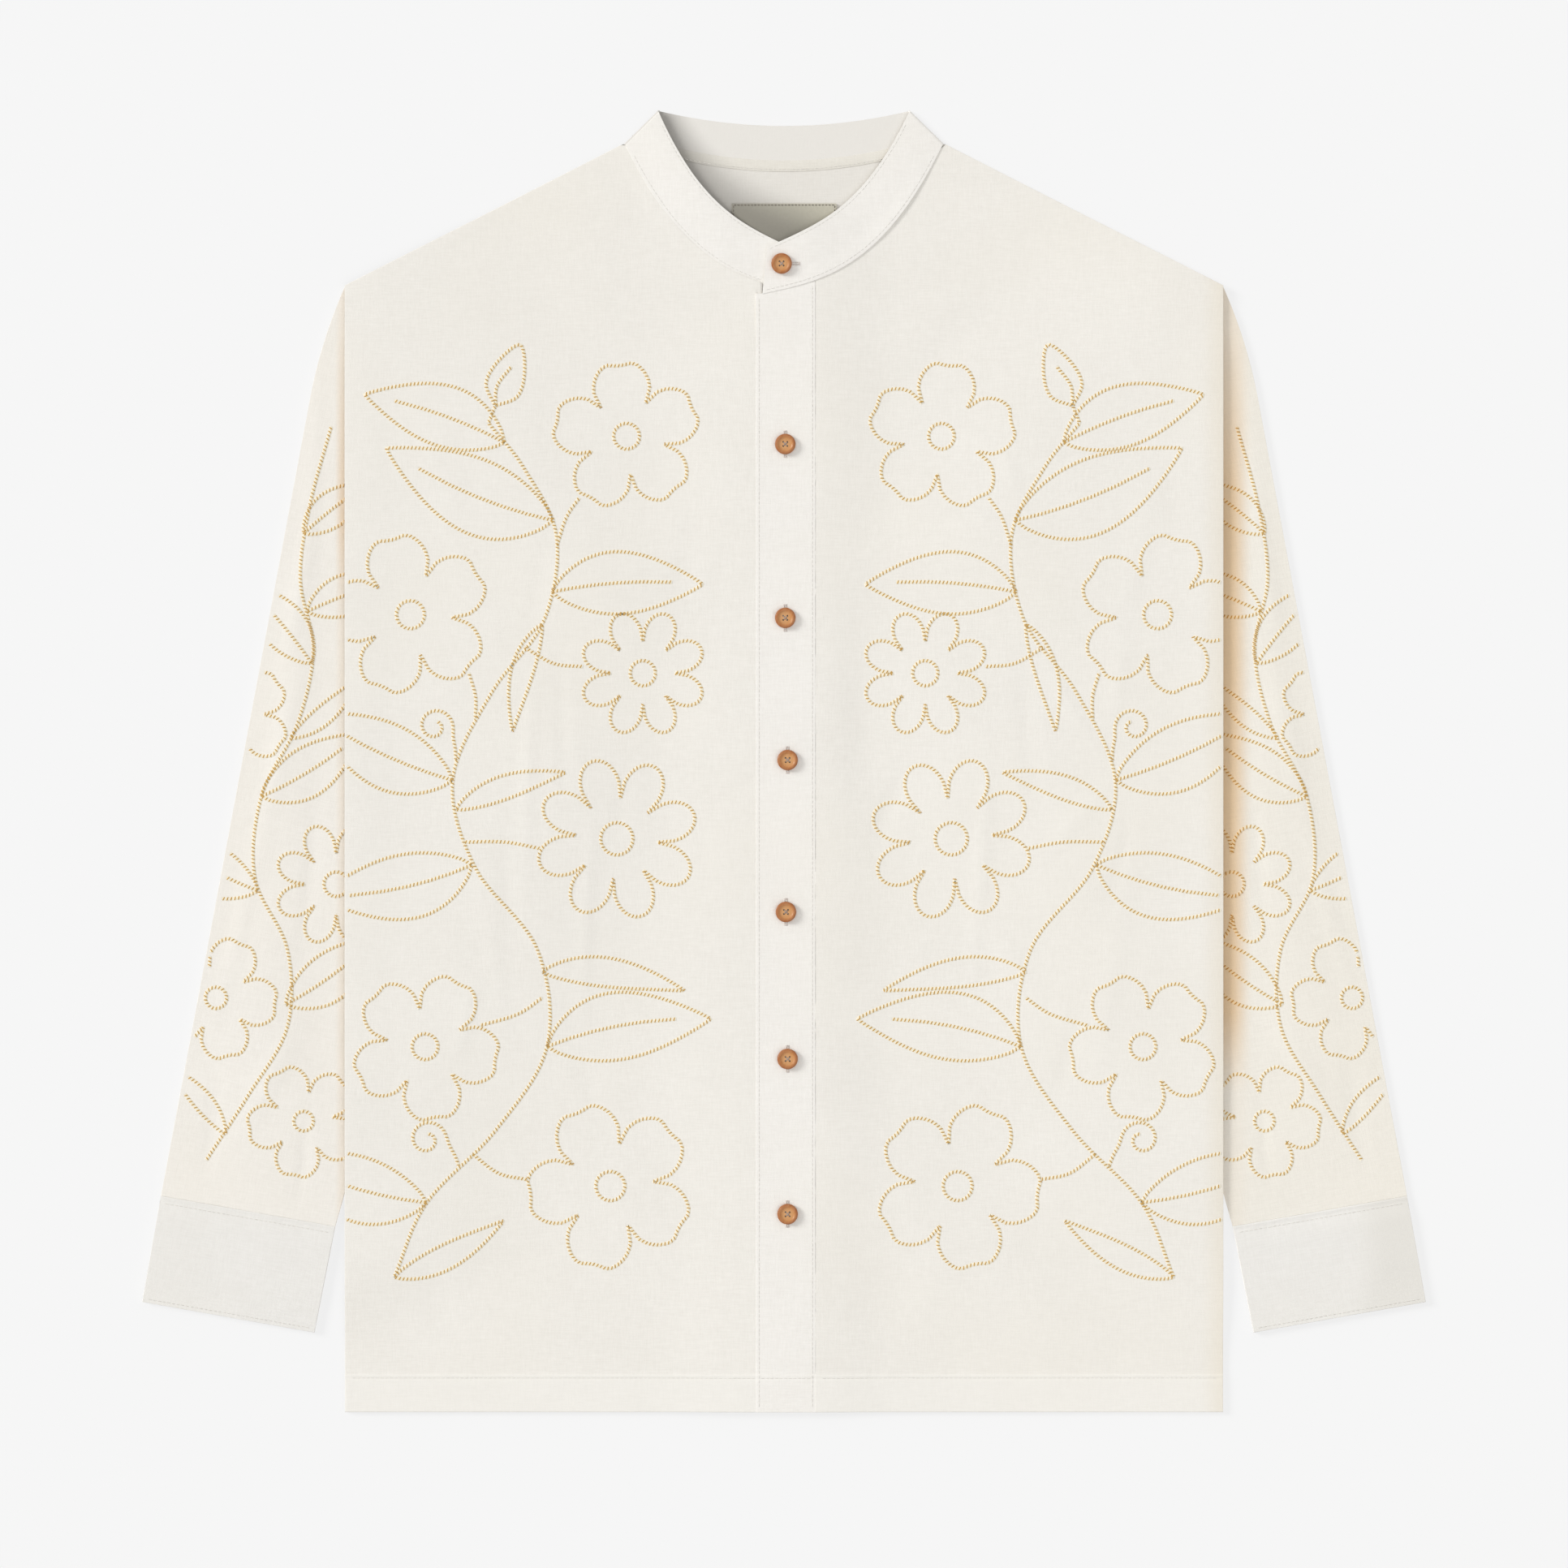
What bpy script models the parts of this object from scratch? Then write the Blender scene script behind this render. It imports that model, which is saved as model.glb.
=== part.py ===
"""Linen shirt with a band collar and a buttoned placket, laid flat with its front up.

Metres, +Z up. X runs across the shirt and Y from its hem to its collar, and it lies on a floor at Z = 0. The
origin is the middle of the laid shirt. Left and right are the wearer's, so the wearer's left lies at +X.
Every piece of cloth is a surface with a wall of its own thickness, and the pieces lie on each other: sleeves
on the floor, the back over their hidden parts, the fronts over the back, then the two plackets, the band and
the buttons.
"""
import math
from functools import partial

import bmesh
import bpy

# Cloth: walls are drawn at 1 mm, doubled pieces thicker, and pieces stay clear of each other by the gap
WALL = 0.0010
HEM_WALL = 0.0014
DOUBLE_WALL = 0.0012
PLACKET_WALL = 0.0014
CUFF_WALL = 0.0015
LABEL_WALL = 0.0008
GAP = 0.0003

# Body, laid flat
BODY_WIDTH = 0.541
LENGTH = 0.8025
SHOULDER_TIP_ABOVE_HEM = 0.6940
NECK_POINT_ABOVE_HEM = 0.7820
NECK_WIDTH = 0.196
HEM_DEPTH = 0.023
HEM_STEP = 0.0015
CENTRE_COLUMN = 0.009

# Neck: the front seam drops to the lap, the back seam only a little. The straight share of a curve's drop
# runs evenly and the rest with the cube of the distance
FRONT_NECK_DROP = 0.0929
NECK_STRAIGHT = 0.25
BACK_NECK_DROP = 0.0171
LAP = 0.0133

# Band collar: its top corners, whose folds stand out a little past the top edge, are the laid shirt's far
# end. Its inner face rises over the label, and stands higher at the folds than on the floor behind the neck
BAND_TOP_WIDTH = 0.1552
BACK_EDGE_SAG = 0.0093
FRONT_EDGE_DROP = 0.0811
EDGE_STRAIGHT = 0.45
EDGE_LAP = 0.0105
V_X = -0.003
BAND_FOLD_OUT = 0.00055
BAND_RISE = 0.0013
BAND_RISE_START = 0.002
BAND_RISE_RUN = 0.027
BAND_CORNER = 0.0017
BAND_CORNER_RISE = 0.0014
LAPPED_SHARE = 0.25
BLEND_SHARE = 0.38

# Plackets: the under one is shifted towards its own front, and the left front rises to the top one
PLACKET_WIDTH = 0.037
PLACKET_SHIFT = 0.001
UNDER_SHIFT = 0.002
PLACKET_RISE_RUN = 0.040
PLACKET_HEM_EXTRA = 0.0002

# Sleeves and cuffs: one side's corners, mirrored for the other
SLEEVE_SLOPE = 0.187
CUFF_SEAM_OUTER = (0.3840, -0.2680)
CUFF_SEAM_INNER = (0.2765, -0.2868)
CUFF_END_OUTER = (0.3955, -0.3333)
CUFF_END_INNER = (0.2893, -0.3522)
UNDERARM = (0.1630, 0.1190)
CAP_HEIGHT = 0.068
CAP_STATION = 0.96
SLEEVE_LOFT = 0.0012
LOFT_CLEAR = 0.012
LOFT_START = 0.12

# Body over the sleeves: lifted up to a margin inside their hidden edge, down again over the ramp, and free of
# them below the height where it leaves the sleeve's end
LIFT_MARGIN = 0.025
LIFT_RAMP = 0.040
LIFT_END_Y = -0.300
LIFT_END_SLOPE = 1.5

# Buttons
BUTTON_DIAMETER = 0.0127
BUTTON_DEPTH = 0.0026
BUTTON_TURNS = 20

# Label inside the back
LABEL_WIDTH = 0.0645
LABEL_HEIGHT = 0.026
LABEL_TOP = 0.3435

# Places that follow from those sizes
SIDE = BODY_WIDTH / 2
HEM_Y = -LENGTH / 2
TOP_Y = LENGTH / 2 - BAND_FOLD_OUT
TIP_Y = HEM_Y + SHOULDER_TIP_ABOVE_HEM
NECK_Y = HEM_Y + NECK_POINT_ABOVE_HEM
NECK_X = NECK_WIDTH / 2
EDGE_X = BAND_TOP_WIDTH / 2
LAYER = WALL + GAP
TUBE_TOP = 2 * WALL + GAP
OVER_SLEEVE = TUBE_TOP + GAP
FRONT_SEAM_Y = NECK_Y - FRONT_NECK_DROP
UNDER_PLACKET = DOUBLE_WALL + GAP

# Cells of the surfaces
NECK_STATIONS = 10
SIDE_COLUMNS = 10
BODY_ROWS = 17
BAND_ROWS = 4
TURN_STEPS = 4
BACK_STATIONS = 12
TUBE_COLUMNS = 8
SLEEVE_ROWS = 12
CUFF_ROWS = 3

# The largest soft folds of the fronts: centre, lean from the Y axis in degrees, half length, half width and
# height
FOLDS = (
    {"x": -0.142, "y": -0.060, "lean": 4, "half_length": 0.130, "half_width": 0.034, "height": 0.0010},
    {"x": -0.105, "y": 0.205, "lean": -24, "half_length": 0.095, "half_width": 0.036, "height": 0.0009},
    {"x": -0.085, "y": -0.290, "lean": -10, "half_length": 0.085, "half_width": 0.032, "height": 0.0007},
    {"x": 0.098, "y": 0.020, "lean": -5, "half_length": 0.140, "half_width": 0.036, "height": 0.0009},
    {"x": 0.150, "y": 0.215, "lean": 30, "half_length": 0.090, "half_width": 0.036, "height": 0.0008},
    {"x": 0.165, "y": -0.265, "lean": 9, "half_length": 0.090, "half_width": 0.034, "height": 0.0008},
)

# Buttons down the front, from the band to the last one above the hem
BUTTONS = (
    {"name": "button_1", "x": -0.0015, "y": 0.30625},
    {"name": "button_2", "x": 0.0008, "y": 0.1950},
    {"name": "button_3", "x": 0.0008, "y": 0.0880},
    {"name": "button_4", "x": 0.0022, "y": 0.0005},
    {"name": "button_5", "x": 0.0012, "y": -0.0930},
    {"name": "button_6", "x": 0.0022, "y": -0.1835},
    {"name": "button_7", "x": 0.0022, "y": -0.2790},
)

COLOURS = {
    "linen": (0.86, 0.83, 0.77),
    "sleeve_linen": (0.88, 0.83, 0.74),
    "cuff_linen": (0.83, 0.81, 0.77),
    "band_linen": (0.88, 0.85, 0.79),
    "woven_label": (0.48, 0.45, 0.38),
    "horn": (0.52, 0.25, 0.10),
}


def smooth(t):
    """Rise from 0 to 1, flat at both ends."""
    t = min(1.0, max(0.0, t))
    return t * t * (3.0 - 2.0 * t)


def eased(t, straight):
    """Rise from 0 to 1 that is partly even and partly with the cube."""
    return straight * t + (1.0 - straight) * t ** 3


def between(a, b, t):
    """The value a fraction t of the way from a to b."""
    return a + (b - a) * t


def point_between(p, q, t):
    """The point a fraction t of the way from p to q."""
    return tuple(between(a, b, t) for a, b in zip(p, q))


def sleeve_inner_x(y):
    """Where the sleeve's hidden edge lies at a height: the armhole, and the underarm seam below it."""
    if y > UNDERARM[1]:
        return between(UNDERARM[0], SIDE, (y - UNDERARM[1]) / (TIP_Y - UNDERARM[1]))
    seam = between(UNDERARM[0], CUFF_SEAM_INNER[0], (UNDERARM[1] - y) / (UNDERARM[1] - CUFF_SEAM_INNER[1]))
    return seam + LIFT_END_SLOPE * max(0.0, LIFT_END_Y - y)


def back_under(x, y):
    """Underside of the back: on the floor, rising softly to lie over the hidden part of each sleeve."""
    return OVER_SLEEVE * smooth((abs(x) - sleeve_inner_x(y) + LIFT_MARGIN + LIFT_RAMP) / LIFT_RAMP)


def wall_at(y):
    """Thickness of a body panel: the turned hem is thicker."""
    return HEM_WALL if y < HEM_Y + HEM_DEPTH + HEM_STEP / 2 else WALL


def fold_height(x, y):
    """Height that the soft folds of the fronts add at a point."""
    total = 0.0
    for fold in FOLDS:
        lean = math.radians(fold["lean"])
        dx, dy = x - fold["x"], y - fold["y"]
        across = abs(dx * math.cos(lean) - dy * math.sin(lean)) / fold["half_width"]
        along = abs(dx * math.sin(lean) + dy * math.cos(lean)) / fold["half_length"]
        total += fold["height"] * smooth(1.0 - across) * smooth(1.0 - along)
    return total


def front_under(x, y):
    """Underside of the first layer over the back."""
    return back_under(x, y) + wall_at(y) + GAP


def right_front_under(x, y):
    """Underside of the wearer's right front, which carries the under placket."""
    return front_under(x, y) + fold_height(x, y)


def left_front_under(x, y):
    """Underside of the wearer's left front, which rises to its placket over the under placket."""
    rise = 1.0 - smooth((x - placket_edge(1)) / PLACKET_RISE_RUN)
    return front_under(x, y) + fold_height(x, y) + UNDER_PLACKET * rise


def placket_under(x, y):
    """Underside of the top placket, which lies on the under placket."""
    return front_under(x, y) + UNDER_PLACKET


def placket_edge(side):
    """X of the top placket's edge on a side."""
    return PLACKET_SHIFT + side * PLACKET_WIDTH / 2


def seam_x(side, s):
    """X of the front neck seam at a fraction of its way from the lap to the neck point."""
    return side * between(-LAP, NECK_X, s)


def seam_y(side, x):
    """Y of the front neck seam of a side."""
    s = max(0.0, (side * x + LAP) / (NECK_X + LAP))
    return FRONT_SEAM_Y + FRONT_NECK_DROP * eased(s, NECK_STRAIGHT)


def seam_clearance(side, x):
    """Vertical distance that keeps a panel one gap away from the sloping neck seam."""
    step = 0.001
    slope = (seam_y(side, x + side * step) - seam_y(side, x)) / step
    return GAP * math.hypot(1.0, slope)


def back_seam_y(x):
    """Y of the back neck seam."""
    return NECK_Y - BACK_NECK_DROP * (1.0 - (x / NECK_X) ** 2)


def shoulder_y(x):
    """Y of the shoulder at a distance from the middle."""
    return between(NECK_Y, TIP_Y, (abs(x) - NECK_X) / (SIDE - NECK_X))


def front_top(side, x):
    """Upper end of a front at X: the neck seam inside the neck point and the shoulder outside it."""
    if side * x > NECK_X - 1e-6:
        return shoulder_y(x) - GAP
    return seam_y(side, x) - seam_clearance(side, x)


def back_top(x):
    """Upper end of the back at X."""
    if abs(x) > NECK_X - 1e-6:
        return shoulder_y(x) - GAP
    return back_seam_y(x) - GAP


def body_rows(top):
    """Heights of a panel's rows, with two close ones where the hem's turned edge ends."""
    fold = HEM_Y + HEM_DEPTH
    rest = [between(fold + HEM_STEP, top, k / BODY_ROWS) for k in range(BODY_ROWS + 1)]
    return [HEM_Y, fold] + rest


def neck_columns():
    """Columns of a side at the stations of the band's seam, outside the plackets."""
    stations = [seam_x(1, k / NECK_STATIONS) for k in range(NECK_STATIONS + 1)]
    return [x for x in stations if x > placket_edge(1) + UNDER_SHIFT]


def side_columns():
    """Columns from just past the neck point to the side."""
    return [between(NECK_X, SIDE, k / SIDE_COLUMNS) for k in range(1, SIDE_COLUMNS + 1)]


def finish(name, colour, roughness=0.9):
    """A plain material for one piece."""
    material = bpy.data.materials.new(name)
    material.use_nodes = True
    surface = material.node_tree.nodes["Principled BSDF"]
    surface.inputs["Base Color"].default_value = (*COLOURS[colour], 1.0)
    surface.inputs["Roughness"].default_value = roughness
    surface.inputs["Metallic"].default_value = 0.0
    return material


def add_object(collection, name, mesh, material):
    """Put a mesh in the shirt's collection as a named object."""
    mesh.materials.append(material)
    piece = bpy.data.objects.new(name, mesh)
    collection.objects.link(piece)
    return piece


def sheet(name, columns, rows, place, flip=False, weld=False):
    """A mesh of columns by rows cells, each corner placed by its numbers; weld joins the outer columns."""
    bm = bmesh.new()
    bmesh.ops.create_grid(bm, x_segments=columns, y_segments=rows, size=0.5)
    for vertex in bm.verts:
        column = round((vertex.co.x + 0.5) * columns)
        row = round((vertex.co.y + 0.5) * rows)
        vertex.co = place(column, row)
    if weld:
        bmesh.ops.remove_doubles(bm, verts=bm.verts, dist=1e-6)
    bmesh.ops.triangulate(bm, faces=bm.faces, quad_method="FIXED")
    if flip:
        bmesh.ops.reverse_faces(bm, faces=bm.faces)
    mesh = bpy.data.meshes.new(name)
    bm.to_mesh(mesh)
    bm.free()
    mesh.shade_smooth()
    return mesh


def give_wall(piece, thickness, offset):
    """Give a surface its wall: offset 1 grows it along the normals and -1 against them."""
    wall = piece.modifiers.new("wall", "SOLIDIFY")
    wall.thickness = thickness
    wall.offset = offset
    wall.use_even_offset = True
    return wall


def body_panel(collection, name, columns, top, under, wall=WALL, hem_wall=HEM_WALL, colour="linen"):
    """A panel that runs from the hem to its own top at each column, thicker over its hem."""
    heights = [body_rows(top(x)) for x in columns]

    def place(column, row):
        x, y = columns[column], heights[column][row]
        return x, y, under(x, y)

    mesh = sheet(name, len(columns) - 1, BODY_ROWS + 2, place)
    piece = add_object(collection, name, mesh, finish(name + "_cloth", colour))
    hem = piece.vertex_groups.new(name="hem")
    hem.add([v.index for v in mesh.vertices if v.co.y < HEM_Y + HEM_DEPTH + HEM_STEP / 2], 1.0, "REPLACE")
    modifier = give_wall(piece, hem_wall, 1)
    modifier.vertex_group = "hem"
    modifier.thickness_vertex_group = wall / hem_wall
    return piece


def make_back(collection):
    """The back, all in one, with its inside seen through the neck."""
    half = [CENTRE_COLUMN, placket_edge(1) + GAP] + neck_columns() + side_columns()
    columns = [-x for x in reversed(half)] + half
    body_panel(collection, "back", columns, back_top, back_under)


def make_fronts(collection):
    """Both fronts, from the plackets to the sides."""
    outer = neck_columns() + side_columns()
    left = [placket_edge(1) + GAP] + outer
    right = [-x for x in reversed(outer)] + [placket_edge(-1) - UNDER_SHIFT - GAP]
    body_panel(collection, "front_left", left, partial(front_top, 1), left_front_under)
    body_panel(collection, "front_right", right, partial(front_top, -1), right_front_under)


def make_plackets(collection):
    """The under placket of the wearer's right front, and the top placket that buttons over it."""
    for name, side, shift, under, wall in (
        ("under_placket", -1, UNDER_SHIFT, front_under, DOUBLE_WALL),
        ("placket", 1, 0.0, placket_under, PLACKET_WALL),
    ):
        edges = [placket_edge(-1) - shift, placket_edge(1) - shift]
        columns = sorted(edges + [seam_x(side, k / NECK_STATIONS) for k in range(3)])
        top = partial(front_top, side)
        hem_wall = wall + PLACKET_HEM_EXTRA
        body_panel(collection, name, columns, top, under, wall=wall, hem_wall=hem_wall, colour="band_linen")


def band_rise_share(y):
    """How far the band has risen at a height in the middle of the front, from 0 to 1."""
    return (y - FRONT_SEAM_Y - BAND_RISE_START) / BAND_RISE_RUN


def band_front_point(side, s, v):
    """Inner face of a front half of the band at s from its end to its corner and v from seam to top edge."""
    x0 = seam_x(side, s)
    x1 = side * between(-EDGE_LAP, EDGE_X, s)
    t = side * (x1 - V_X) / abs(side * EDGE_X - V_X)
    y0 = seam_y(side, x0)
    y1 = TOP_Y - FRONT_EDGE_DROP * (1.0 - eased(t, EDGE_STRAIGHT))
    y = between(y0, y1, v)
    over_label = LAYER + BAND_RISE * smooth(band_rise_share(y))
    at_corner = BAND_CORNER + BAND_CORNER_RISE * math.sin(v * math.pi / 2)
    away_from_lap = smooth((s - LAPPED_SHARE) / BLEND_SHARE)
    z = between(over_label, at_corner, away_from_lap)
    if side > 0:
        z += UNDER_PLACKET * (1.0 - away_from_lap)
    return between(x0, x1, v), y, z


def back_edge_y(x):
    """Y of the top edge of the band's back."""
    return TOP_Y - BACK_EDGE_SAG * (1.0 - (x / EDGE_X) ** 2)


def band_back_point(f, v):
    """Inner face of the back of the band, which lies on the floor, at f from its left to its right end."""
    x0, x1 = f * NECK_X, f * EDGE_X
    return between(x0, x1, v), between(back_seam_y(x0), back_edge_y(x1), v), DOUBLE_WALL


def band_turn_point(side, step, v):
    """Inner face where the band folds round a neck point, from its back below to its front above."""
    radius = (band_front_point(side, 1.0, v)[2] - DOUBLE_WALL) / 2
    angle = math.pi * (step / TURN_STEPS - 0.5)
    across_fold = (TOP_Y - NECK_Y) / math.hypot(TOP_Y - NECK_Y, NECK_X - EDGE_X)
    inset = (DOUBLE_WALL + radius - radius * math.cos(angle)) / across_fold
    x0, x1 = NECK_X - inset, EDGE_X - inset
    x, y = side * between(x0, x1, v), between(back_seam_y(x0), back_edge_y(x1), v)
    return x, y, DOUBLE_WALL + radius + radius * math.sin(angle)


def make_band(collection):
    """The band collar: from its under end round the neck to the end that laps over it."""
    def stations(v):
        line = [band_front_point(-1, k / NECK_STATIONS, v) for k in range(NECK_STATIONS)]
        line += [band_turn_point(-1, TURN_STEPS - k, v) for k in range(TURN_STEPS + 1)]
        line += [band_back_point(between(-1, 1, k / BACK_STATIONS), v) for k in range(1, BACK_STATIONS)]
        line += [band_turn_point(1, k, v) for k in range(TURN_STEPS + 1)]
        line += [band_front_point(1, 1.0 - k / NECK_STATIONS, v) for k in range(1, NECK_STATIONS + 1)]
        return line

    lines = [stations(row / BAND_ROWS) for row in range(BAND_ROWS + 1)]
    mesh = sheet("collar_band", len(lines[0]) - 1, BAND_ROWS, lambda column, row: lines[row][column])
    band = add_object(collection, "collar_band", mesh, finish("collar_band_cloth", "band_linen"))
    give_wall(band, DOUBLE_WALL, -1)


def flat_ring(inner, outer, wall, lift):
    """Inner face of a flattened tube: over the top from inner to outer, round, back below and round."""
    radius = GAP / 2
    middle = wall + radius
    length = math.dist(inner, outer)
    margin = (radius + wall) / length
    ring = []
    for k in range(TUBE_COLUMNS + 1):
        t = between(margin, 1.0 - margin, k / TUBE_COLUMNS)
        x, y = point_between(inner, outer, t)
        ring.append((x, y, middle + radius + lift(x)))
    for turn in (1.0 - margin, margin):
        sign = 1.0 if turn > 0.5 else -1.0
        for k in range(1, TURN_STEPS):
            angle = math.pi * (0.5 - k / TURN_STEPS)
            x, y = point_between(inner, outer, turn + sign * radius * math.cos(angle) / length)
            ring.append((x, y, middle + sign * radius * math.sin(angle)))
        if sign > 0:
            for k in range(TUBE_COLUMNS + 1):
                t = between(1.0 - margin, margin, k / TUBE_COLUMNS)
                ring.append((*point_between(inner, outer, t), wall))
    ring.append(ring[0])
    return ring


def sleeve_outer(k):
    """Outer edge of a sleeve at k from the cuff seam to the shoulder tip, rounded over the sleeve's cap."""
    y = between(CUFF_SEAM_OUTER[1], TIP_Y, k)
    straight = CUFF_SEAM_OUTER[0] - SLEEVE_SLOPE * (y - CUFF_SEAM_OUTER[1])
    at_tip = CUFF_SEAM_OUTER[0] - SLEEVE_SLOPE * (TIP_Y - CUFF_SEAM_OUTER[1]) - SIDE
    cap = max(0.0, (y - TIP_Y + CAP_HEIGHT) / CAP_HEIGHT)
    return straight - at_tip * cap ** 2, y


def tube(collection, name, side, rings, wall, colour):
    """A flattened open tube through its rings, mirrored for the wearer's right side."""
    def place(column, row):
        x, y, z = rings[row][column]
        return side * x, y, z

    mesh = sheet(name, len(rings[0]) - 1, len(rings) - 1, place, flip=side < 0, weld=True)
    piece = add_object(collection, name, mesh, finish(name + "_cloth", colour))
    give_wall(piece, wall, 1)
    return piece


def make_sleeves(collection):
    """Both sleeves: flattened tubes from the cuff seam to the armhole, their inner part under the body."""
    def ring(k):
        inner = point_between(CUFF_SEAM_INNER, UNDERARM, k)
        outer = sleeve_outer(k)

        def lift(x):
            across = (x - SIDE - LOFT_CLEAR) / max(GAP, outer[0] - SIDE - LOFT_CLEAR)
            return SLEEVE_LOFT * smooth(2.0 * min(across, 1.0 - across)) * smooth(k / LOFT_START)

        return flat_ring(inner, outer, WALL, lift)

    rings = [ring(k / SLEEVE_ROWS) for k in range(SLEEVE_ROWS)] + [ring(CAP_STATION), ring(1.0)]
    for name, side in (("sleeve_left", 1), ("sleeve_right", -1)):
        tube(collection, name, side, rings, WALL, "sleeve_linen")


def make_cuffs(collection):
    """Both cuffs: short flattened tubes of doubled cloth, one gap below the sleeves."""
    start = GAP / math.dist(CUFF_SEAM_OUTER, CUFF_END_OUTER)

    def ring(k):
        inner = point_between(CUFF_END_INNER, CUFF_SEAM_INNER, k * (1.0 - start))
        outer = point_between(CUFF_END_OUTER, CUFF_SEAM_OUTER, k * (1.0 - start))
        return flat_ring(inner, outer, CUFF_WALL, lambda x: 0.0)

    rings = [ring(k / CUFF_ROWS) for k in range(CUFF_ROWS + 1)]
    for name, side in (("cuff_left", 1), ("cuff_right", -1)):
        tube(collection, name, side, rings, CUFF_WALL, "cuff_linen")


def make_label(collection):
    """The plain label on the inside of the back, below the neck seam."""
    cells = 2

    def place(column, row):
        x = LABEL_WIDTH * (column / cells - 0.5)
        return x, LABEL_TOP - LABEL_HEIGHT * (1.0 - row / cells), LAYER

    mesh = sheet("label", cells, cells, place)
    label = add_object(collection, "label", mesh, finish("label_cloth", "woven_label"))
    give_wall(label, LABEL_WALL, 1)


def make_buttons(collection):
    """Seven buttons with a raised rim, turned from one profile that runs down its outer side."""
    radius, depth = BUTTON_DIAMETER / 2, BUTTON_DEPTH
    dish = 0.70 * depth
    profile = (
        (0.0, dish),
        (0.62 * radius, dish),
        (0.76 * radius, depth),
        (0.90 * radius, depth),
        (radius, 0.74 * depth),
        (radius, 0.30 * depth),
        (0.86 * radius, 0.0),
        (0.0, 0.0),
    )
    mesh = bpy.data.meshes.new("button_profile")
    edges = [(k, k + 1) for k in range(len(profile) - 1)]
    mesh.from_pydata([(x, 0.0, z) for x, z in profile], edges, [])
    horn = finish("button_horn", "horn", roughness=0.35)
    mesh.materials.append(horn)
    for row in BUTTONS:
        button = bpy.data.objects.new(row["name"], mesh)
        collection.objects.link(button)
        x, y = row["x"], row["y"]
        if row["name"] == "button_1":
            t = band_rise_share(y)
            top = LAYER + BAND_RISE * smooth(t) + UNDER_PLACKET + DOUBLE_WALL
            slope = BAND_RISE * 6.0 * t * (1.0 - t) / BAND_RISE_RUN
            button.rotation_euler = (math.atan(slope), 0.0, 0.0)
        else:
            top = placket_under(x, y) + PLACKET_WALL
        button.location = (x, y, top + GAP)
        turned = button.modifiers.new("turned", "SCREW")
        turned.steps = BUTTON_TURNS
        turned.render_steps = BUTTON_TURNS
        turned.use_merge_vertices = True
        turned.merge_threshold = 0.00001


def main():
    """Clear the scene and make the shirt."""
    for item in list(bpy.data.objects):
        bpy.data.objects.remove(item)
    collection = bpy.data.collections.new("linen_shirt")
    bpy.context.scene.collection.children.link(collection)
    make_sleeves(collection)
    make_cuffs(collection)
    make_back(collection)
    make_fronts(collection)
    make_plackets(collection)
    make_band(collection)
    make_label(collection)
    make_buttons(collection)


main()
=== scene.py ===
"""Looks of a linen shirt laid flat, from its weave and stitches to the floor, the light and the camera."""
import math
import random

import bmesh
import bpy
import numpy
from mathutils import Matrix, Vector, noise


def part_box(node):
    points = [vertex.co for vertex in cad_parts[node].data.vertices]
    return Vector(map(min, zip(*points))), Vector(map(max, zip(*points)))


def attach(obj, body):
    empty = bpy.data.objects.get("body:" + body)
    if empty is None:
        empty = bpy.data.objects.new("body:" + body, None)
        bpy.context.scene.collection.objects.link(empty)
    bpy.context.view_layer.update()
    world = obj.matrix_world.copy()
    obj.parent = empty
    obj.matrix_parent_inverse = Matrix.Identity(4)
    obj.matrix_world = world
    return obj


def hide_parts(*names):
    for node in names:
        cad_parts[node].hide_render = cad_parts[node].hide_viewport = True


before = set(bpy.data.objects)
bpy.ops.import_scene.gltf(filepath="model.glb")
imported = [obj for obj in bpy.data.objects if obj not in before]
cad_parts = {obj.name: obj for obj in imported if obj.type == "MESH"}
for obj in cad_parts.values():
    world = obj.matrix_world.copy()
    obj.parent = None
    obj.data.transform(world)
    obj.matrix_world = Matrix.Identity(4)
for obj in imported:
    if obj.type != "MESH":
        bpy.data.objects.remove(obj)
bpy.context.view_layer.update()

# Camera.
# The photograph looks straight down on the laid shirt from far off. Its frame covers a little under a metre
# of floor, and its middle lies a little below the middle of the shirt.
FRAME_WIDTH = 0.966
FRAME_MIDDLE_Y = -0.01425
CLOTH_HEIGHT = 0.003
LENS = 110.0
SENSOR = 36.0
camera_data = bpy.data.cameras.new("camera")
camera_data.lens = LENS
camera_data.sensor_width = SENSOR
camera_data.clip_start = 0.05
camera_data.clip_end = 20.0
camera = bpy.data.objects.new("camera", camera_data)
camera.location = (0.0, FRAME_MIDDLE_Y, CLOTH_HEIGHT + FRAME_WIDTH * LENS / SENSOR)
bpy.context.scene.collection.objects.link(camera)
bpy.context.scene.camera = camera

# Back.
# One panel of off-white plain-woven linen, about two threads to the millimetre, with a turned hem. The
# sleeves are folded behind the body, so it lies on the floor in the middle and over their hidden parts at the
# sides.
MM = 0.001
TINY = 1e-6
WALL = 0.001
GAP = 0.0003
LAYER = WALL + GAP
CLOTH = 0.0007
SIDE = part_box("back")[1][0]
HEM_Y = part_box("back")[0][1]
NECK_X = 0.098
NECK_Y = HEM_Y + 0.782
TIP_Y = HEM_Y + 0.694
BACK_NECK_DROP = 0.0171
UNDERARM = (0.163, 0.119)
CUFF_SEAM_INNER = (0.2765, -0.2868)
OVER_SLEEVE = 2 * LAYER
LIFT_MARGIN = 0.025
LIFT_RAMP = 0.115
LIFT_END_Y = -0.300
LIFT_END_SLOPE = 1.5
SIDE_STAND = 0.0006
STAND_X = 0.236
STAND_LOW_Y = -0.290
STAND_HIGH_Y = 0.272
HEM_DEPTH = 0.023
HEM_TURN = HEM_Y + HEM_DEPTH
HEM_LINE_Y = HEM_TURN - 0.0020
HEM_RISE = 0.0002
HEM_STEP = 0.0006
HEM_PRESS = 0.00012
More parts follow.
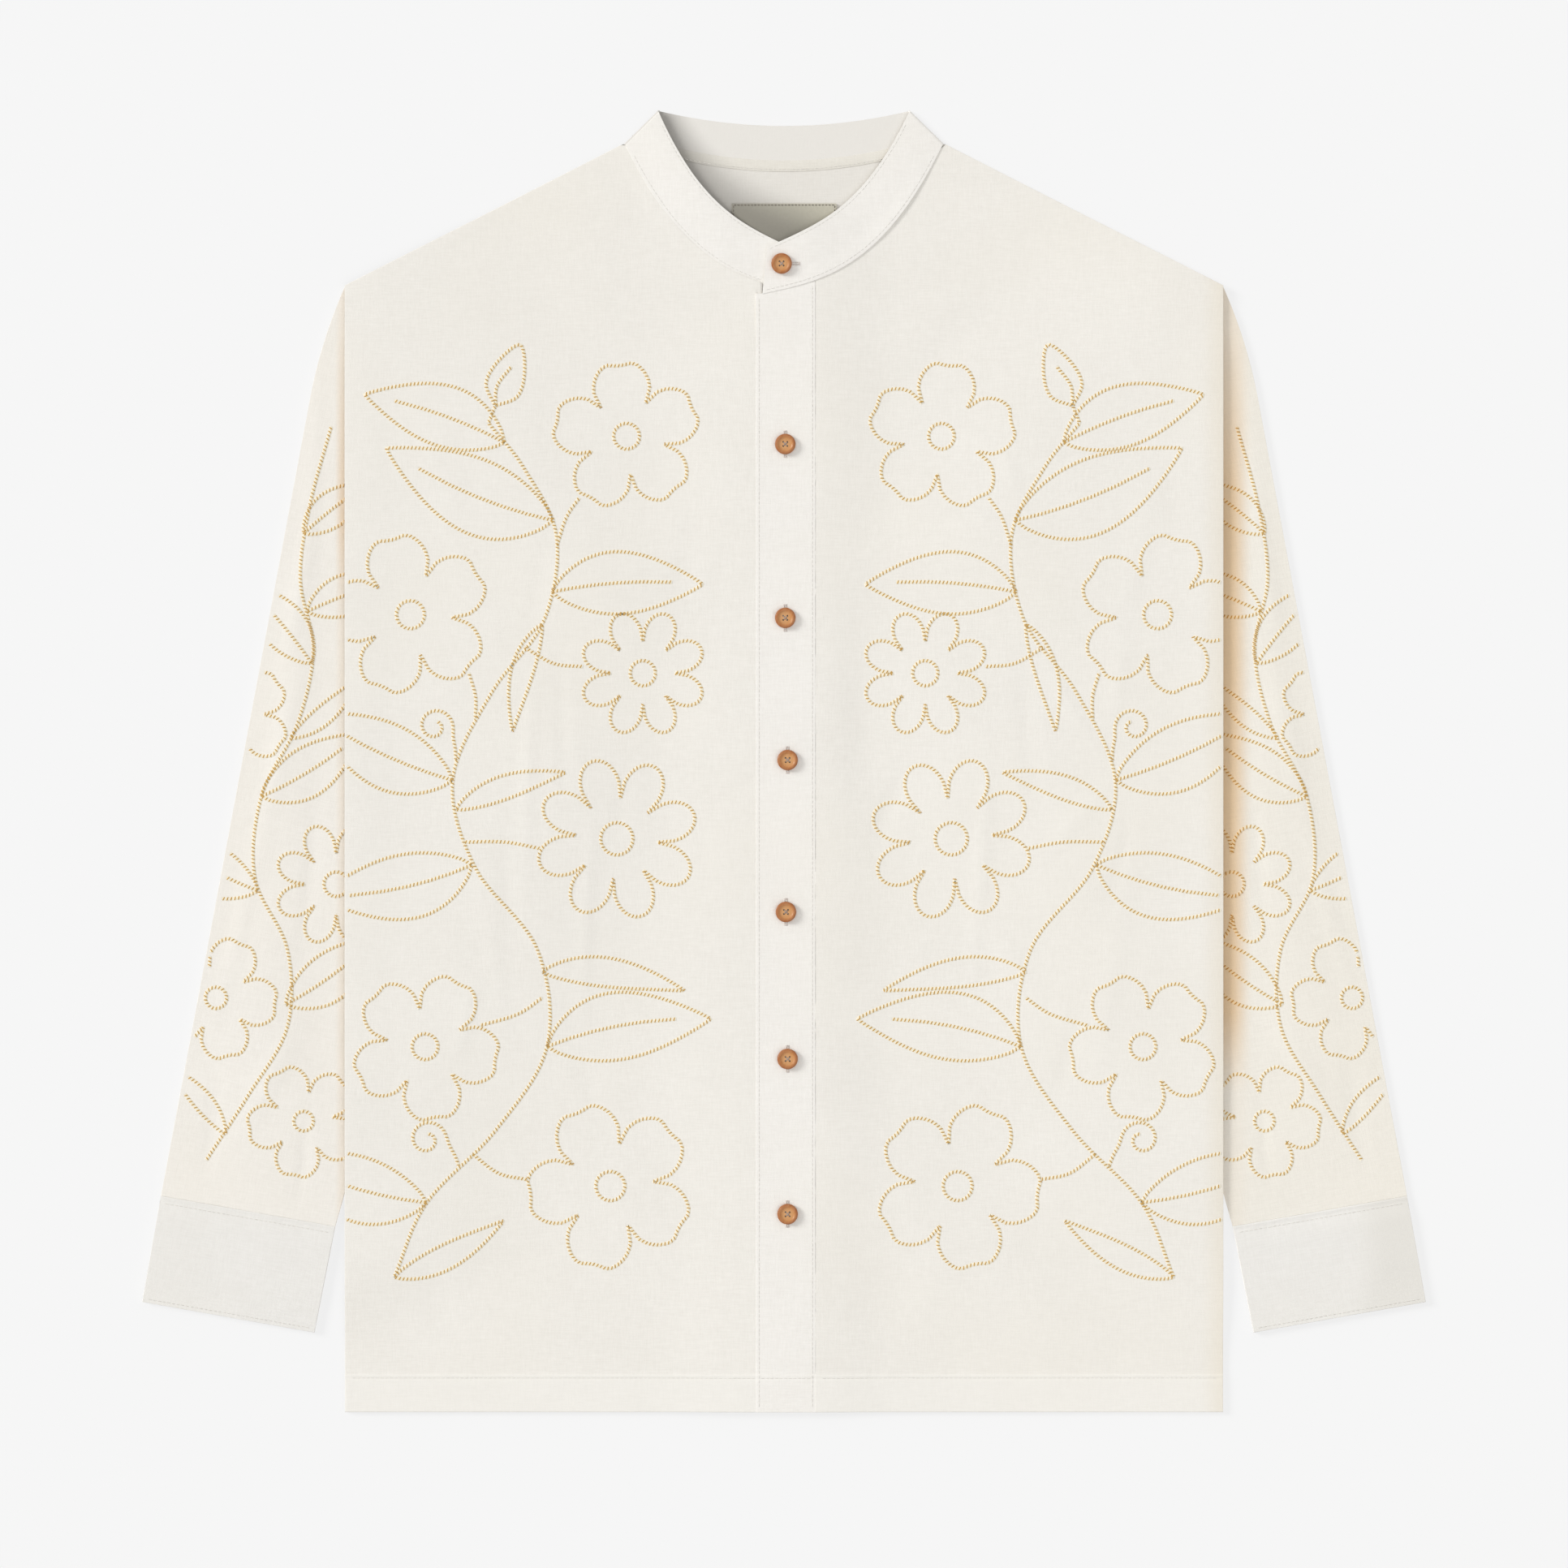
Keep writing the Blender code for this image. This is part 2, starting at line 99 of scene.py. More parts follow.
EDGE_ROLL = 0.0008
EDGE_STEPS = [EDGE_ROLL * k for k in (0.0, 0.06, 0.16, 0.32, 0.56, 1.0)]
PANEL_LENGTH = 0.760
WEAVE_PITCH = 0.00056
BODY_COLOUR = (0.884, 0.856, 0.800)
# The back and the band's lowest layer are painted darker than the body, as shade inside the neck
SHADED_INSIDE_COLOUR = (0.815, 0.787, 0.736)
SHADE_COLOUR = (0.150, 0.140, 0.125)
HEM_COLOUR = (0.93, 0.91, 0.86)
# Warm shadow painted along the wearer's left side of the fronts
SIDE_SHADOW_COLOUR = (0.78, 0.67, 0.48)

# The band's top edge, which bounds what shows inside the neck
BAND_FOLD_OUT = 0.00055
TOP_Y = -HEM_Y - BAND_FOLD_OUT
EDGE_X = 0.0776
V_X = -0.003
FRONT_EDGE_DROP = 0.0811
EDGE_BEND = 0.55


class Shade:
    """A value in a material's node tree. Sums on it add Math nodes."""

    def __init__(self, tree, socket):
        self.tree = tree
        self.socket = socket

    def sum(self, operation, first, second):
        """A Math node on two values or numbers."""
        node = self.tree.nodes.new("ShaderNodeMath")
        node.operation = operation
        for socket, value in zip(node.inputs, (first, second)):
            if isinstance(value, Shade):
                self.tree.links.new(value.socket, socket)
            else:
                socket.default_value = value
        return Shade(self.tree, node.outputs[0])

    def __add__(self, other):
        return self.sum("ADD", self, other)

    def __sub__(self, other):
        return self.sum("SUBTRACT", self, other)

    def __rsub__(self, other):
        return self.sum("SUBTRACT", other, self)

    def __mul__(self, other):
        return self.sum("MULTIPLY", self, other)

    __radd__ = __add__
    __rmul__ = __mul__


class Finish:
    """A material whose nodes are added by kind, settings and inputs."""

    def __init__(self, name, roughness, sheen=0.0, coat=0.0):
        self.material = bpy.data.materials.new(name)
        self.material.use_nodes = True
        self.tree = self.material.node_tree
        self.surface = self.tree.nodes["Principled BSDF"]
        self.surface.inputs["Roughness"].default_value = roughness
        self.surface.inputs["Specular IOR Level"].default_value = 0.3
        self.surface.inputs["Sheen Weight"].default_value = sheen
        self.surface.inputs["Sheen Roughness"].default_value = 0.5
        self.surface.inputs["Coat Weight"].default_value = coat

    def feed(self, socket, value):
        """Link a value to a socket, or set it there."""
        if isinstance(value, Shade):
            self.tree.links.new(value.socket, socket)
        elif socket.type == "RGBA":
            socket.default_value = (*value, 1.0)
        else:
            socket.default_value = value

    def node(self, kind, settings=None, inputs=None, output=0):
        """A node of a kind: its settings and a ramp's stops first, then its inputs by name or number."""
        made = self.tree.nodes.new("ShaderNode" + kind)
        for name, value in (settings or {}).items():
            if name == "stops":
                elements = made.color_ramp.elements
                while len(elements) < len(value):
                    elements.new(1.0)
                for element, (place, colour) in zip(elements, value):
                    element.position = place
                    element.color = (*colour, 1.0)
            else:
                setattr(made, name, value)
        for name, value in (inputs or {}).items():
            self.feed(made.inputs[name], value)
        return Shade(self.tree, made.outputs[output])

    def place(self, turn=0.0, scale=(1.0, 1.0, 1.0)):
        """Object coordinates, turned in the cloth's plane and then scaled."""
        settings = {"vector_type": "POINT"}
        coordinates = self.node("TexCoord", output="Object")
        turned = self.node("Mapping", settings, {"Vector": coordinates, "Rotation": (0, 0, turn)})
        return self.node("Mapping", settings, {"Vector": turned, "Scale": scale})

    def axis(self, number):
        """One object coordinate: 0 across, 1 along and 2 up."""
        return self.node("SeparateXYZ", {}, {"Vector": self.place()}, output=number)

    def noise(self, scale, detail=2.0, turn=0.0, stretch=(1.0, 1.0, 1.0)):
        """Noise of a scale per metre, stretched along the cloth."""
        inputs = {"Vector": self.place(turn, stretch), "Scale": scale, "Detail": detail, "Roughness": 0.55}
        return self.node("TexNoise", {}, inputs)

    def wave(self, direction, vector, scale, more=None):
        """Bands that follow each other in a direction."""
        settings = {"wave_type": "BANDS", "bands_direction": direction, "wave_profile": "SIN"}
        return self.node("TexWave", settings, {"Vector": vector, "Scale": scale, **(more or {})}, "Fac")

    def span(self, value, low, high, to_low=0.0, to_high=1.0, kind="LINEAR"):
        """A value between low and high brought between two others."""
        inputs = {"Value": value, "From Min": low, "From Max": high, "To Min": to_low, "To Max": to_high}
        return self.node("MapRange", {"interpolation_type": kind}, inputs)

    def mix(self, share, first, second, blend="MIX"):
        """Two colours mixed by a share."""
        settings = {"data_type": "RGBA", "blend_type": blend}
        return self.node("Mix", settings, {0: share, 6: first, 7: second}, 2)

    def bump(self, height, distance, strength=1.0):
        """Raise the surface by a height between 0 and 1 times a distance."""
        inputs = {"Height": height, "Distance": distance, "Strength": strength}
        self.feed(self.surface.inputs["Normal"], self.node("Bump", {}, inputs))

    def colour(self, value, tint=None):
        """Set the base colour. A tint changes it by place."""
        self.feed(self.surface.inputs["Base Color"], tint(self, value) if tint else value)


def scaled(colour, *factors):
    """A colour with its parts multiplied by one factor or by three."""
    return tuple(min(1.0, part * factor) for part, factor in zip(colour, factors * 3))


def linen(name, colour, turn=0.0, tint=None):
    """Plain-woven linen, its warp turned from the Y axis. A tint may colour it by place.

    Thicker stretches of the uneven yarn show as short pale and dark dashes along warp and weft.
    """
    finish = Finish(name, roughness=0.9, sheen=0.08)
    uneven = {"Distortion": 1.2, "Detail": 1.0, "Detail Scale": 0.05}
    wave_scale = math.pi / 10.0 / WEAVE_PITCH
    across, along = (finish.wave(way, finish.place(turn), wave_scale, uneven) for way in ("X", "Y"))
    over = across * along + (1.0 - across) * (1.0 - along)
    warp = finish.noise(150.0, detail=3.0, turn=turn, stretch=(9.0, 1.0, 1.0))
    weft = finish.noise(140.0, detail=3.0, turn=turn, stretch=(1.0, 9.5, 1.0))
    yarn = (warp + weft) * 0.5
    cloud = finish.noise(16.0)
    tone = finish.span(yarn + over * 0.08 + cloud * 0.25, 0.36, 0.92)
    shade = finish.mix(tone, scaled(colour, 0.930, 0.924, 0.910), scaled(colour, 1.045))
    patches = finish.span(finish.noise(7.0, detail=1.0), 0.45, 0.75, to_high=0.35)
    shade = finish.mix(patches, shade, scaled(colour, 1.0, 0.985, 0.945))
    finish.colour(shade, tint)
    finish.bump(over * 0.4 + yarn * 1.2, distance=0.00020, strength=0.6)
    return finish.material


def doubled(finish, shade):
    """The turned hem, of two layers, lets less shadow through and looks a little whiter."""
    share = finish.span(finish.axis(1), HEM_TURN + HEM_STEP, HEM_TURN - HEM_STEP / 3, to_high=0.35)
    return finish.mix(share, shade, HEM_COLOUR)


def painted_neck_shadow(finish, shade, depth=0.55, above=0.0004, reach=0.037):
    """Painted shadow on upper faces inside the neck, deepest beside the band's right half."""
    x, y, z = (finish.axis(number) for number in range(3))
    along = (V_X - x) * (1.0 / (EDGE_X + V_X))
    rise = along * (1.0 - EDGE_BEND + EDGE_BEND * along * along)
    edge = TOP_Y - FRONT_EDGE_DROP + rise * FRONT_EDGE_DROP
    near = finish.span(y - edge, reach, 0.005, kind="SMOOTHSTEP") * finish.span(z, above, above + 0.0003)
    return finish.mix(near * depth, shade, SHADE_COLOUR)


def front_hem_and_side_shadow(finish, shade):
    """A front's whiter hem, and a warm shadow painted along the wearer's left side, where the cloth turns
    down.
    """
    turned = finish.span(finish.axis(0), SIDE - 0.016, SIDE, to_high=0.26, kind="SMOOTHSTEP")
    return finish.mix(turned, doubled(finish, shade), SIDE_SHADOW_COLOUR)


def inside_tint(finish, shade):
    """The inside of the back: its whiter hem, and painted shadow within the neck."""
    return painted_neck_shadow(finish, doubled(finish, shade))


def smooth(t):
    """Rise from 0 to 1, flat at both ends."""
    t = min(1.0, max(0.0, t))
    return t * t * (3.0 - 2.0 * t)


def between(a, b, t):
    """The value a fraction t of the way from a to b."""
    return a + (b - a) * t


def spaced_by(start, end, count):
    """A count of even steps from start to end, both ends included."""
    return [between(start, end, k / count) for k in range(count + 1)]


def spaced(start, end, pitch):
    """Even steps from start to end, about a pitch apart, both ends included."""
    return spaced_by(start, end, max(1, round(abs(end - start) / pitch)))


def link(thing):
    """Put an object in the scene."""
    bpy.context.scene.collection.objects.link(thing)


def mesh_of(name, bm):
    """A mesh from a bmesh, which is freed."""
    mesh = bpy.data.meshes.new(name)
    bm.to_mesh(mesh)
    bm.free()
    return mesh


def show(name, mesh, material):
    """Put a mesh in the scene as a piece that rides on the shirt."""
    mesh.materials.append(material)
    mesh.shade_smooth()
    piece = bpy.data.objects.new(name, mesh)
    link(piece)
    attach(piece, "root")
    return piece


def grid(bm, columns, rows):
    """A new grid of columns by rows cells: each corner with its column and its row."""
    made = bmesh.ops.create_grid(bm, x_segments=columns, y_segments=rows, size=0.5)["verts"]
    return [(v, round((v.co.x + 0.5) * columns), round((v.co.y + 0.5) * rows)) for v in made]


def cloth(name, columns, rows, place, material, wall=CLOTH, flip=False, weld=False):
    """A thin woven shell of columns by rows cells, each corner placed by its numbers, its wall inside it."""
    bm = bmesh.new()
    for corner, column, row in grid(bm, columns, rows):
        corner.co = place(column, row)
    if weld:
        bmesh.ops.remove_doubles(bm, verts=bm.verts, dist=TINY / 10)
    if flip:
        bmesh.ops.reverse_faces(bm, faces=bm.faces)
    piece = show(name, mesh_of(name, bm), material)
    shell = piece.modifiers.new("wall", "SOLIDIFY")
    shell.thickness = wall
    shell.offset = -1.0
    shell.use_even_offset = False
    return piece


def soft_folds(*rows):
    """Soft folds, from rows in millimetres and degrees.

    A row gives the middle, the lean from the Y axis, half the length and half the width, how far the middle
    line bends over that half length, and the height, which is below 0 in a trough.
    """
    made = []
    for x, y, lean, length, width, bend, height in rows:
        angle = math.radians(lean)
        sizes = [value * MM for value in (x, y, length, width, bend, height)]
        made.append((*sizes, math.sin(angle), math.cos(angle)))
    return made


def fold_height(folds, x, y):
    """Height that folds add at a point."""
    total = 0.0
    for middle_x, middle_y, length, width, bend, height, sine, cosine in folds:
        dx, dy = x - middle_x, y - middle_y
        along = (dx * sine + dy * cosine) / length
        if abs(along) < 1.0:
            across = (dx * cosine - dy * sine - bend * along * along) / width
            total += height * smooth(1.0 - abs(across)) * smooth(1.0 - abs(along))
    return total


def ripple(x, y, scale, height):
    """The faint unevenness of pressed linen."""
    return height * noise.noise(Vector((x * scale, y * scale, 3.7)))


def sleeve_inner_x(y):
    """Where the sleeve's hidden edge lies at a height."""
    if y > UNDERARM[1]:
        return between(UNDERARM[0], SIDE, (y - UNDERARM[1]) / (TIP_Y - UNDERARM[1]))
    seam = between(UNDERARM[0], CUFF_SEAM_INNER[0], (UNDERARM[1] - y) / (UNDERARM[1] - CUFF_SEAM_INNER[1]))
    return seam + LIFT_END_SLOPE * max(0.0, LIFT_END_Y - y)


def back_under(x, y):
    """Underside of the back: on the floor, over each sleeve's hidden part, and a little free at its edge."""
    lifted = OVER_SLEEVE * smooth((abs(x) - sleeve_inner_x(y) + LIFT_MARGIN + LIFT_RAMP) / LIFT_RAMP)
    ends = smooth((y - STAND_LOW_Y) / 0.09) * smooth((STAND_HIGH_Y - y) / 0.035)
    return lifted + SIDE_STAND * smooth((abs(x) - STAND_X) / 0.030) * ends


def hem_rise(y):
    """The turned hem stands a little proud, and its line of sewing is pressed in just below the turn."""
    step = 1.0 - smooth((y - HEM_TURN + HEM_STEP) / (2 * HEM_STEP))
    pressed = smooth(1.0 - abs(y - HEM_LINE_Y) / 0.0014)
    return HEM_RISE * step - HEM_PRESS * pressed


def back_seam_y(x):
    """Y of the back neck seam."""
    return NECK_Y - BACK_NECK_DROP * (1.0 - (x / NECK_X) ** 2)


def shoulder_y(x):
    """Y of the shoulder at a distance from the middle."""
    return between(NECK_Y, TIP_Y, (abs(x) - NECK_X) / (SIDE - NECK_X))


def back_top(x):
    """Upper end of the back at X."""
    return shoulder_y(x) if abs(x) > NECK_X - TINY else back_seam_y(x)


def back_face(x, y):
    """Upper face of the back, which is its inside."""
    return back_under(x, y) + WALL + hem_rise(y)


def panel_columns(low, high, pitch):
    """Columns of a panel, closer together beside the shirt's side edges."""
    left = [-SIDE + d for d in EDGE_STEPS] if low < -SIDE + EDGE_ROLL else [low]
    right = [SIDE - d for d in reversed(EDGE_STEPS)] if high > SIDE - EDGE_ROLL else [high]
    return left[:-1] + spaced(left[-1], right[0], pitch) + right[1:]


def panel_rows(top, pitch):
    """Rows of a panel from hem to top, closer together at the hem's turn and at the top edge."""
    hem = [HEM_Y + d for d in (0.0, 0.0004, 0.0010, 0.0020, 0.006, 0.012, 0.018)]
    hem += [HEM_TURN + d for d in (-0.0034, -0.0027, -0.0020, -0.0013, -0.0006, 0.0, 0.0006, 0.0014)]
    middle = spaced_by(HEM_TURN + 0.004, top - EDGE_ROLL, round(PANEL_LENGTH / pitch))
    return hem + middle[:-1] + [top - d for d in reversed(EDGE_STEPS)]


def panel(name, columns, top, face, material, wall=CLOTH, pitch=0.0044):
    """A panel of cloth from the hem to its own top at each column."""
    heights = [panel_rows(top(x), pitch) for x in columns]

    def place(column, row):
        x, y = columns[column], heights[column][row]
        return x, y, face(x, y)

    return cloth(name, len(columns) - 1, len(heights[0]) - 1, place, material, wall)


body_linen = linen("body_linen", BODY_COLOUR, tint=front_hem_and_side_shadow)
shaded_inside_linen = linen("shaded_inside_linen", SHADED_INSIDE_COLOUR, tint=inside_tint)
back_panel = panel("back_panel", panel_columns(-SIDE, SIDE, 0.0068), back_top, back_face, shaded_inside_linen,
                   wall=WALL, pitch=0.008)
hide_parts("back")

# Thread.
# Short stitches of spun thread hold the shirt together and draw its embroidery. The embroidery is a flat
# cream cord laid along each line of a climbing vine, tied down all along by slanted golden stitches.
STITCH_PITCH = 0.0029
STITCH = (0.0023, 0.0004, 0.00030)
STITCH_RISE = 0.00004
UPWARD = (0.0, 0.0, 1.0)
CORD_WIDTH = 0.0025
CORD_HEIGHT = 0.00022
CORD_PITCH = 0.0012
CORD_PROFILE = ((-0.5, -0.4), (-0.32, 1.0), (0.32, 1.0), (0.5, -0.4))
TIE_PITCH = 0.00232
TIE = (0.00250, 0.00092, 0.00042)
TIE_TURN = math.radians(68)
SEWING_COLOUR = (0.86, 0.83, 0.77)
TIE_COLOUR = (0.70, 0.430, 0.120)
TIE_DARK = (0.600, 0.350, 0.090)
CORD_COLOUR = (0.955, 0.885, 0.700)


def thread(name, colour, dark, tint=None):
    """Spun thread. Its strands run aslant each stitch, and stitches differ a little in tone."""
    finish = Finish(name, roughness=0.62, sheen=0.12)
    tone = finish.node("Attribute", {"attribute_name": "tone"}, output=2)
    twist = finish.wave("DIAGONAL", finish.node("UVMap", {"uv_map": "stitch"}), 3.0, {"Distortion": 0.4})
    shade = finish.mix(tone * 0.7 + twist * 0.3, dark, colour)
    finish.colour(shade, tint)
    finish.bump(twist, distance=0.00008, strength=0.6)
    return finish.material


def stitch_shape():
    """Corners and faces of one stitch, one long, one wide and one high: a short bar with tapered ends."""
    bm = bmesh.new()
    bmesh.ops.create_uvsphere(bm, u_segments=6, v_segments=4, radius=0.5)
    for vertex in bm.verts:
        fuller = 1.12 if abs(vertex.co.z) < 0.45 else 1.0
        vertex.co = (vertex.co.z * fuller, vertex.co.x, vertex.co.y)
    corners = numpy.array([vertex.co[:] for vertex in bm.verts])
    faces = [[vertex.index for vertex in face.verts] for face in bm.faces]
    bm.free()
    return corners, faces


def sewn(name, stitches, material, seed=1):
    """One joined mesh of many stitches. Each has its middle, heading, upward direction and size."""
    chance = random.Random(seed)
    corners, faces = stitch_shape()
    points = []
    tones = []
    for middle, heading, upward, size in stitches:
        ahead = Vector(heading).normalized()
        aside = Vector(upward).cross(ahead).normalized()
        up = ahead.cross(aside)
        basis = numpy.array([ahead * size[0], aside * size[1], up * size[2]])
        points.append(corners @ basis + numpy.array(middle))
        tones.append(numpy.full(len(corners), chance.random()))
    count = len(stitches)
    loops = numpy.array([number for face in faces for number in face])
    sizes = numpy.tile([len(face) for face in faces], count)
    first = len(corners) * numpy.arange(count)
    mesh = bpy.data.meshes.new(name)
    mesh.vertices.add(count * len(corners))
    mesh.vertices.foreach_set("co", numpy.concatenate(points).ravel())
    mesh.loops.add(count * len(loops))
    mesh.loops.foreach_set("vertex_index", (loops[None, :] + first[:, None]).ravel())
    mesh.polygons.add(len(sizes))
    mesh.polygons.foreach_set("loop_start", numpy.concatenate([[0], numpy.cumsum(sizes)[:-1]]))
    mesh.update(calc_edges=True)
    mesh.attributes.new("tone", "FLOAT", "POINT").data.foreach_set("value", numpy.concatenate(tones))
    marks = numpy.tile(corners[loops][:, :2], (count, 1))
    mesh.uv_layers.new(name="stitch").data.foreach_set("uv", marks.ravel())
    return show(name, mesh, material)


def walk(line, pitch):
    """Even places along a line, about a pitch apart, each with the way that the line heads there."""
    places = []
    total = sum(math.dist(a, b) for a, b in zip(line, line[1:]))
    step = total / max(1, round(total / pitch))
    due = step / 2
    run = 0.0
    for a, b in zip(line, line[1:]):
        length = math.dist(a, b)
        while length > 0.0 and due <= run + length:
            t = (due - run) / length
            place = tuple(between(p, q, t) for p, q in zip(a, b))
            places.append((place, tuple((q - p) / length for p, q in zip(a, b))))
            due += step
        run += length
    return places


def on_face(face, place, heading, turn, size, rise):
    """A stitch on a face, turned from the way that its line heads, its middle a little above the face."""
    x, y = place
    reach = 0.0006
    east = (face(x + reach, y) - face(x - reach, y)) / (2 * reach)
    north = (face(x, y + reach) - face(x, y - reach)) / (2 * reach)
    angle = math.atan2(heading[1], heading[0]) + turn
    ahead = (math.cos(angle), math.sin(angle))
    heading = (*ahead, east * ahead[0] + north * ahead[1])
    return (x, y, face(x, y) + rise), heading, (-east, -north, 1.0), size


def seam_stitches(line, face):
    """A row of plain stitches along a line on a face."""
    return [on_face(face, *step, 0.0, STITCH, STITCH_RISE) for step in walk(line, STITCH_PITCH)]


def level_stitches(line, rise, pitch=STITCH_PITCH, size=STITCH):
    """A row of level stitches a little above a line in space."""
    return [((x, y, z + rise), heading, UPWARD, size) for (x, y, z), heading in walk(line, pitch)]


def curve(points, steps=10):
    """A smooth open line through points."""
    first = [2 * a - b for a, b in zip(points[0], points[1])]
    last = [2 * a - b for a, b in zip(points[-1], points[-2])]
    path = [first, *points, last]

    def along(a, b, c, d, t):
        bend = (2 * a - 5 * b + 4 * c - d) * t ** 2 + (3 * b - a - 3 * c + d) * t ** 3
        return 0.5 * (2 * b + (c - a) * t + bend)

    line = []
    for k in range(1, len(path) - 2):
        for step in range(steps):
            line.append(tuple(along(*parts, step / steps) for parts in zip(*path[k - 1:k + 3])))
    return line + [tuple(points[-1])]


def ring_line(radius):
    """A circle about the origin."""
    return [(radius * math.sin(math.pi * k / 12), radius * math.cos(math.pi * k / 12)) for k in range(25)]


def leaf_lines(bend, width=0.21, vein=0.80):
    """An almond leaf from its base at the origin to its tip, one long, with its middle vein."""
    line = []
    for k in range(41):
        t = k / 20 if k <= 20 else 2.0 - k / 20
        half = width * math.sin(math.pi * t ** 0.85) ** 0.9 if 0.0 < t < 1.0 else 0.0
        side = half if k <= 20 else -half
        line.append((side + bend * t * t, t - 0.3 * bend * side))
    middle = [(bend * t * t, t) for t in (0.0, 0.15, 0.3, 0.45, 0.6, vein)]
    return [line, middle] if vein else [line]


def flower_lines(petals, dent, core):
    """A flower one across about the origin: rounded petals with a dent in each, and a ring in its middle."""
    outline = []
    for k in range(petals * 16 + 1):
        angle = math.pi * k / (petals * 8)
        petal = abs(math.sin(petals * angle / 2))
        radius = 0.25 + 0.25 * petal ** 0.55 - 0.5 * dent * max(0.0, petal - 0.90) / 0.10
        outline.append((radius * math.sin(angle), radius * math.cos(angle)))
    return [outline, ring_line(core)]


def bud_lines(width):
    """A closed bud one long on its stalk, with one fold of its petals."""
    right = [(width, 0.42), (0.85 * width, 0.72)]
    left = [(-x, y) for x, y in reversed(right)]
    base, tip = (0.0, 0.22), (0.0, 1.0)
    fold = [base, (0.35 * width, 0.45), (0.0, 0.72)]
    return [curve([base, *right, tip, *left, base]), curve(fold), [(0.0, 0.0), base]]


def tendril_lines(turns):
    """A thin shoot that runs up and curls in."""
    line = [(0.0, 0.0), (0.02, 0.16), (0.06, 0.32)]
    count = int(turns * 16)
    for k in range(count + 1):
        radius = 0.26 * (1.0 - 0.72 * k / count)
        line.append((0.33 - radius * math.cos(math.pi * k / 8), 0.46 + radius * math.sin(math.pi * k / 8)))
    return [curve(line, 3)]


def motif_lines(kind, x, y, size, turn, bend):
    """The lines of one leaf, flower, bud or tendril at its place and size, turned from upright."""
    shapes = {
        "leaf": lambda: leaf_lines(bend),
        "blade": lambda: leaf_lines(bend, 0.105, 0.0),
        "flower": lambda: flower_lines(5, 0.07, 0.085),
        "daisy": lambda: flower_lines(8, 0.0, 0.10),
        "bud": lambda: bud_lines(0.20),
        "tendril": lambda: tendril_lines(1.2),
    }
    turn = math.radians(turn)
    c, s = size * MM * math.cos(turn), size * MM * math.sin(turn)
    return [[(x * MM + u * c - v * s, y * MM + u * s + v * c) for u, v in line] for line in shapes[kind]()]


def runs(line, inside):
    """The stretches of a line that lie inside a piece of cloth."""
    found = [[]]
    for place in line:
        if inside(*place):
            found[-1].append(place)
        elif found[-1]:
            found.append([])
    return [run for run in found if len(run) > 3]


def laid_cord(name, lines, face, material):
    """A low flat cord laid along every line on a face, as one mesh."""
    bm = bmesh.new()
    for line in lines:
        last = len(line) - 1
        for corner, column, row in grid(bm, len(CORD_PROFILE) - 1, last):
            before, after = line[max(0, row - 1)], line[min(last, row + 1)]
            heading = Vector((after[0] - before[0], after[1] - before[1])).normalized()
            across, up = CORD_PROFILE[column]
            x = line[row][0] + CORD_WIDTH * across * heading.y
            y = line[row][1] - CORD_WIDTH * across * heading.x
            corner.co = (x, y, face(x, y) + CORD_HEIGHT * up)
    return show(name, mesh_of(name, bm), material)


def embroider(name, side, stems, vine, face, inside, seed, tint=None):
    """A vine worked on one piece of cloth, mirrored for the wearer's right: its cord and the ties over it."""
    drawn = [curve([(x * MM, y * MM) for x, y in stem]) for stem in stems]
    for row in vine:
        drawn += motif_lines(*row)
    lines = []
    for line in drawn:
        even = [line[0], *(place for place, heading in walk(line, CORD_PITCH)), line[-1]]
        lines += runs([(side * x, y) for x, y in even], inside)
    ties = []
    for line in lines:
        for place, heading in walk(line, TIE_PITCH):
            ties.append(on_face(face, place, heading, TIE_TURN, TIE, CORD_HEIGHT * 0.9))
    tie_thread = thread(name + "_tie_thread", TIE_COLOUR, TIE_DARK, tint)
    cord = laid_cord(name + "_cord", lines, face, cord_finish(name + "_cord_thread", tint))
    return [cord, sewn(name + "_ties", ties, tie_thread, seed)]


def cord_finish(name, tint):
    """The cream cord under the ties, of soft loose strands."""
    finish = Finish(name, roughness=0.75, sheen=0.15)
    strands = finish.span(finish.noise(1300.0), 0.35, 0.65)
    shade = finish.mix(strands, scaled(CORD_COLOUR, 0.90), CORD_COLOUR)
    finish.colour(shade, tint)
    finish.bump(strands, distance=0.00010, strength=0.6)
    return finish.material


sewing_thread = thread("sewing_thread", SEWING_COLOUR, scaled(SEWING_COLOUR, 0.88))

# Fronts.
# Two panels that meet at the plackets. The wearer's left front, at +X, carries the placket with the
# buttonholes and rises to it, and the right front ends under it. Soft folds and finer creases run down both.
FRONT_SEAM_Y = NECK_Y - 0.0929
LAP = 0.0133
PLACKET_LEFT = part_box("placket")[0][0]
PLACKET_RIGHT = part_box("placket")[1][0]
UNDER_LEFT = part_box("under_placket")[0][0]
UNDER_PLACKET = 0.0015
SEAM_BEND = 0.75
LEFT_RISE = 0.0019
LEFT_RISE_RUN = 0.050
RIGHT_RISE = 0.0017
RIGHT_RISE_RUN = 0.070
RIGHT_DIP = 0.0010
RIGHT_DIP_RUN = 0.0012
NECK_RISE = 0.0004
NECK_RISE_REACH = 0.022
EDGE_DROP = 0.00012
FRONT_PITCH = 0.0036
BODY_RIPPLES = ((22.0, 0.00016), (60.0, 0.00006))
VINE_FROM_PLACKET = 0.003
VINE_FROM_SIDE = 0.0010

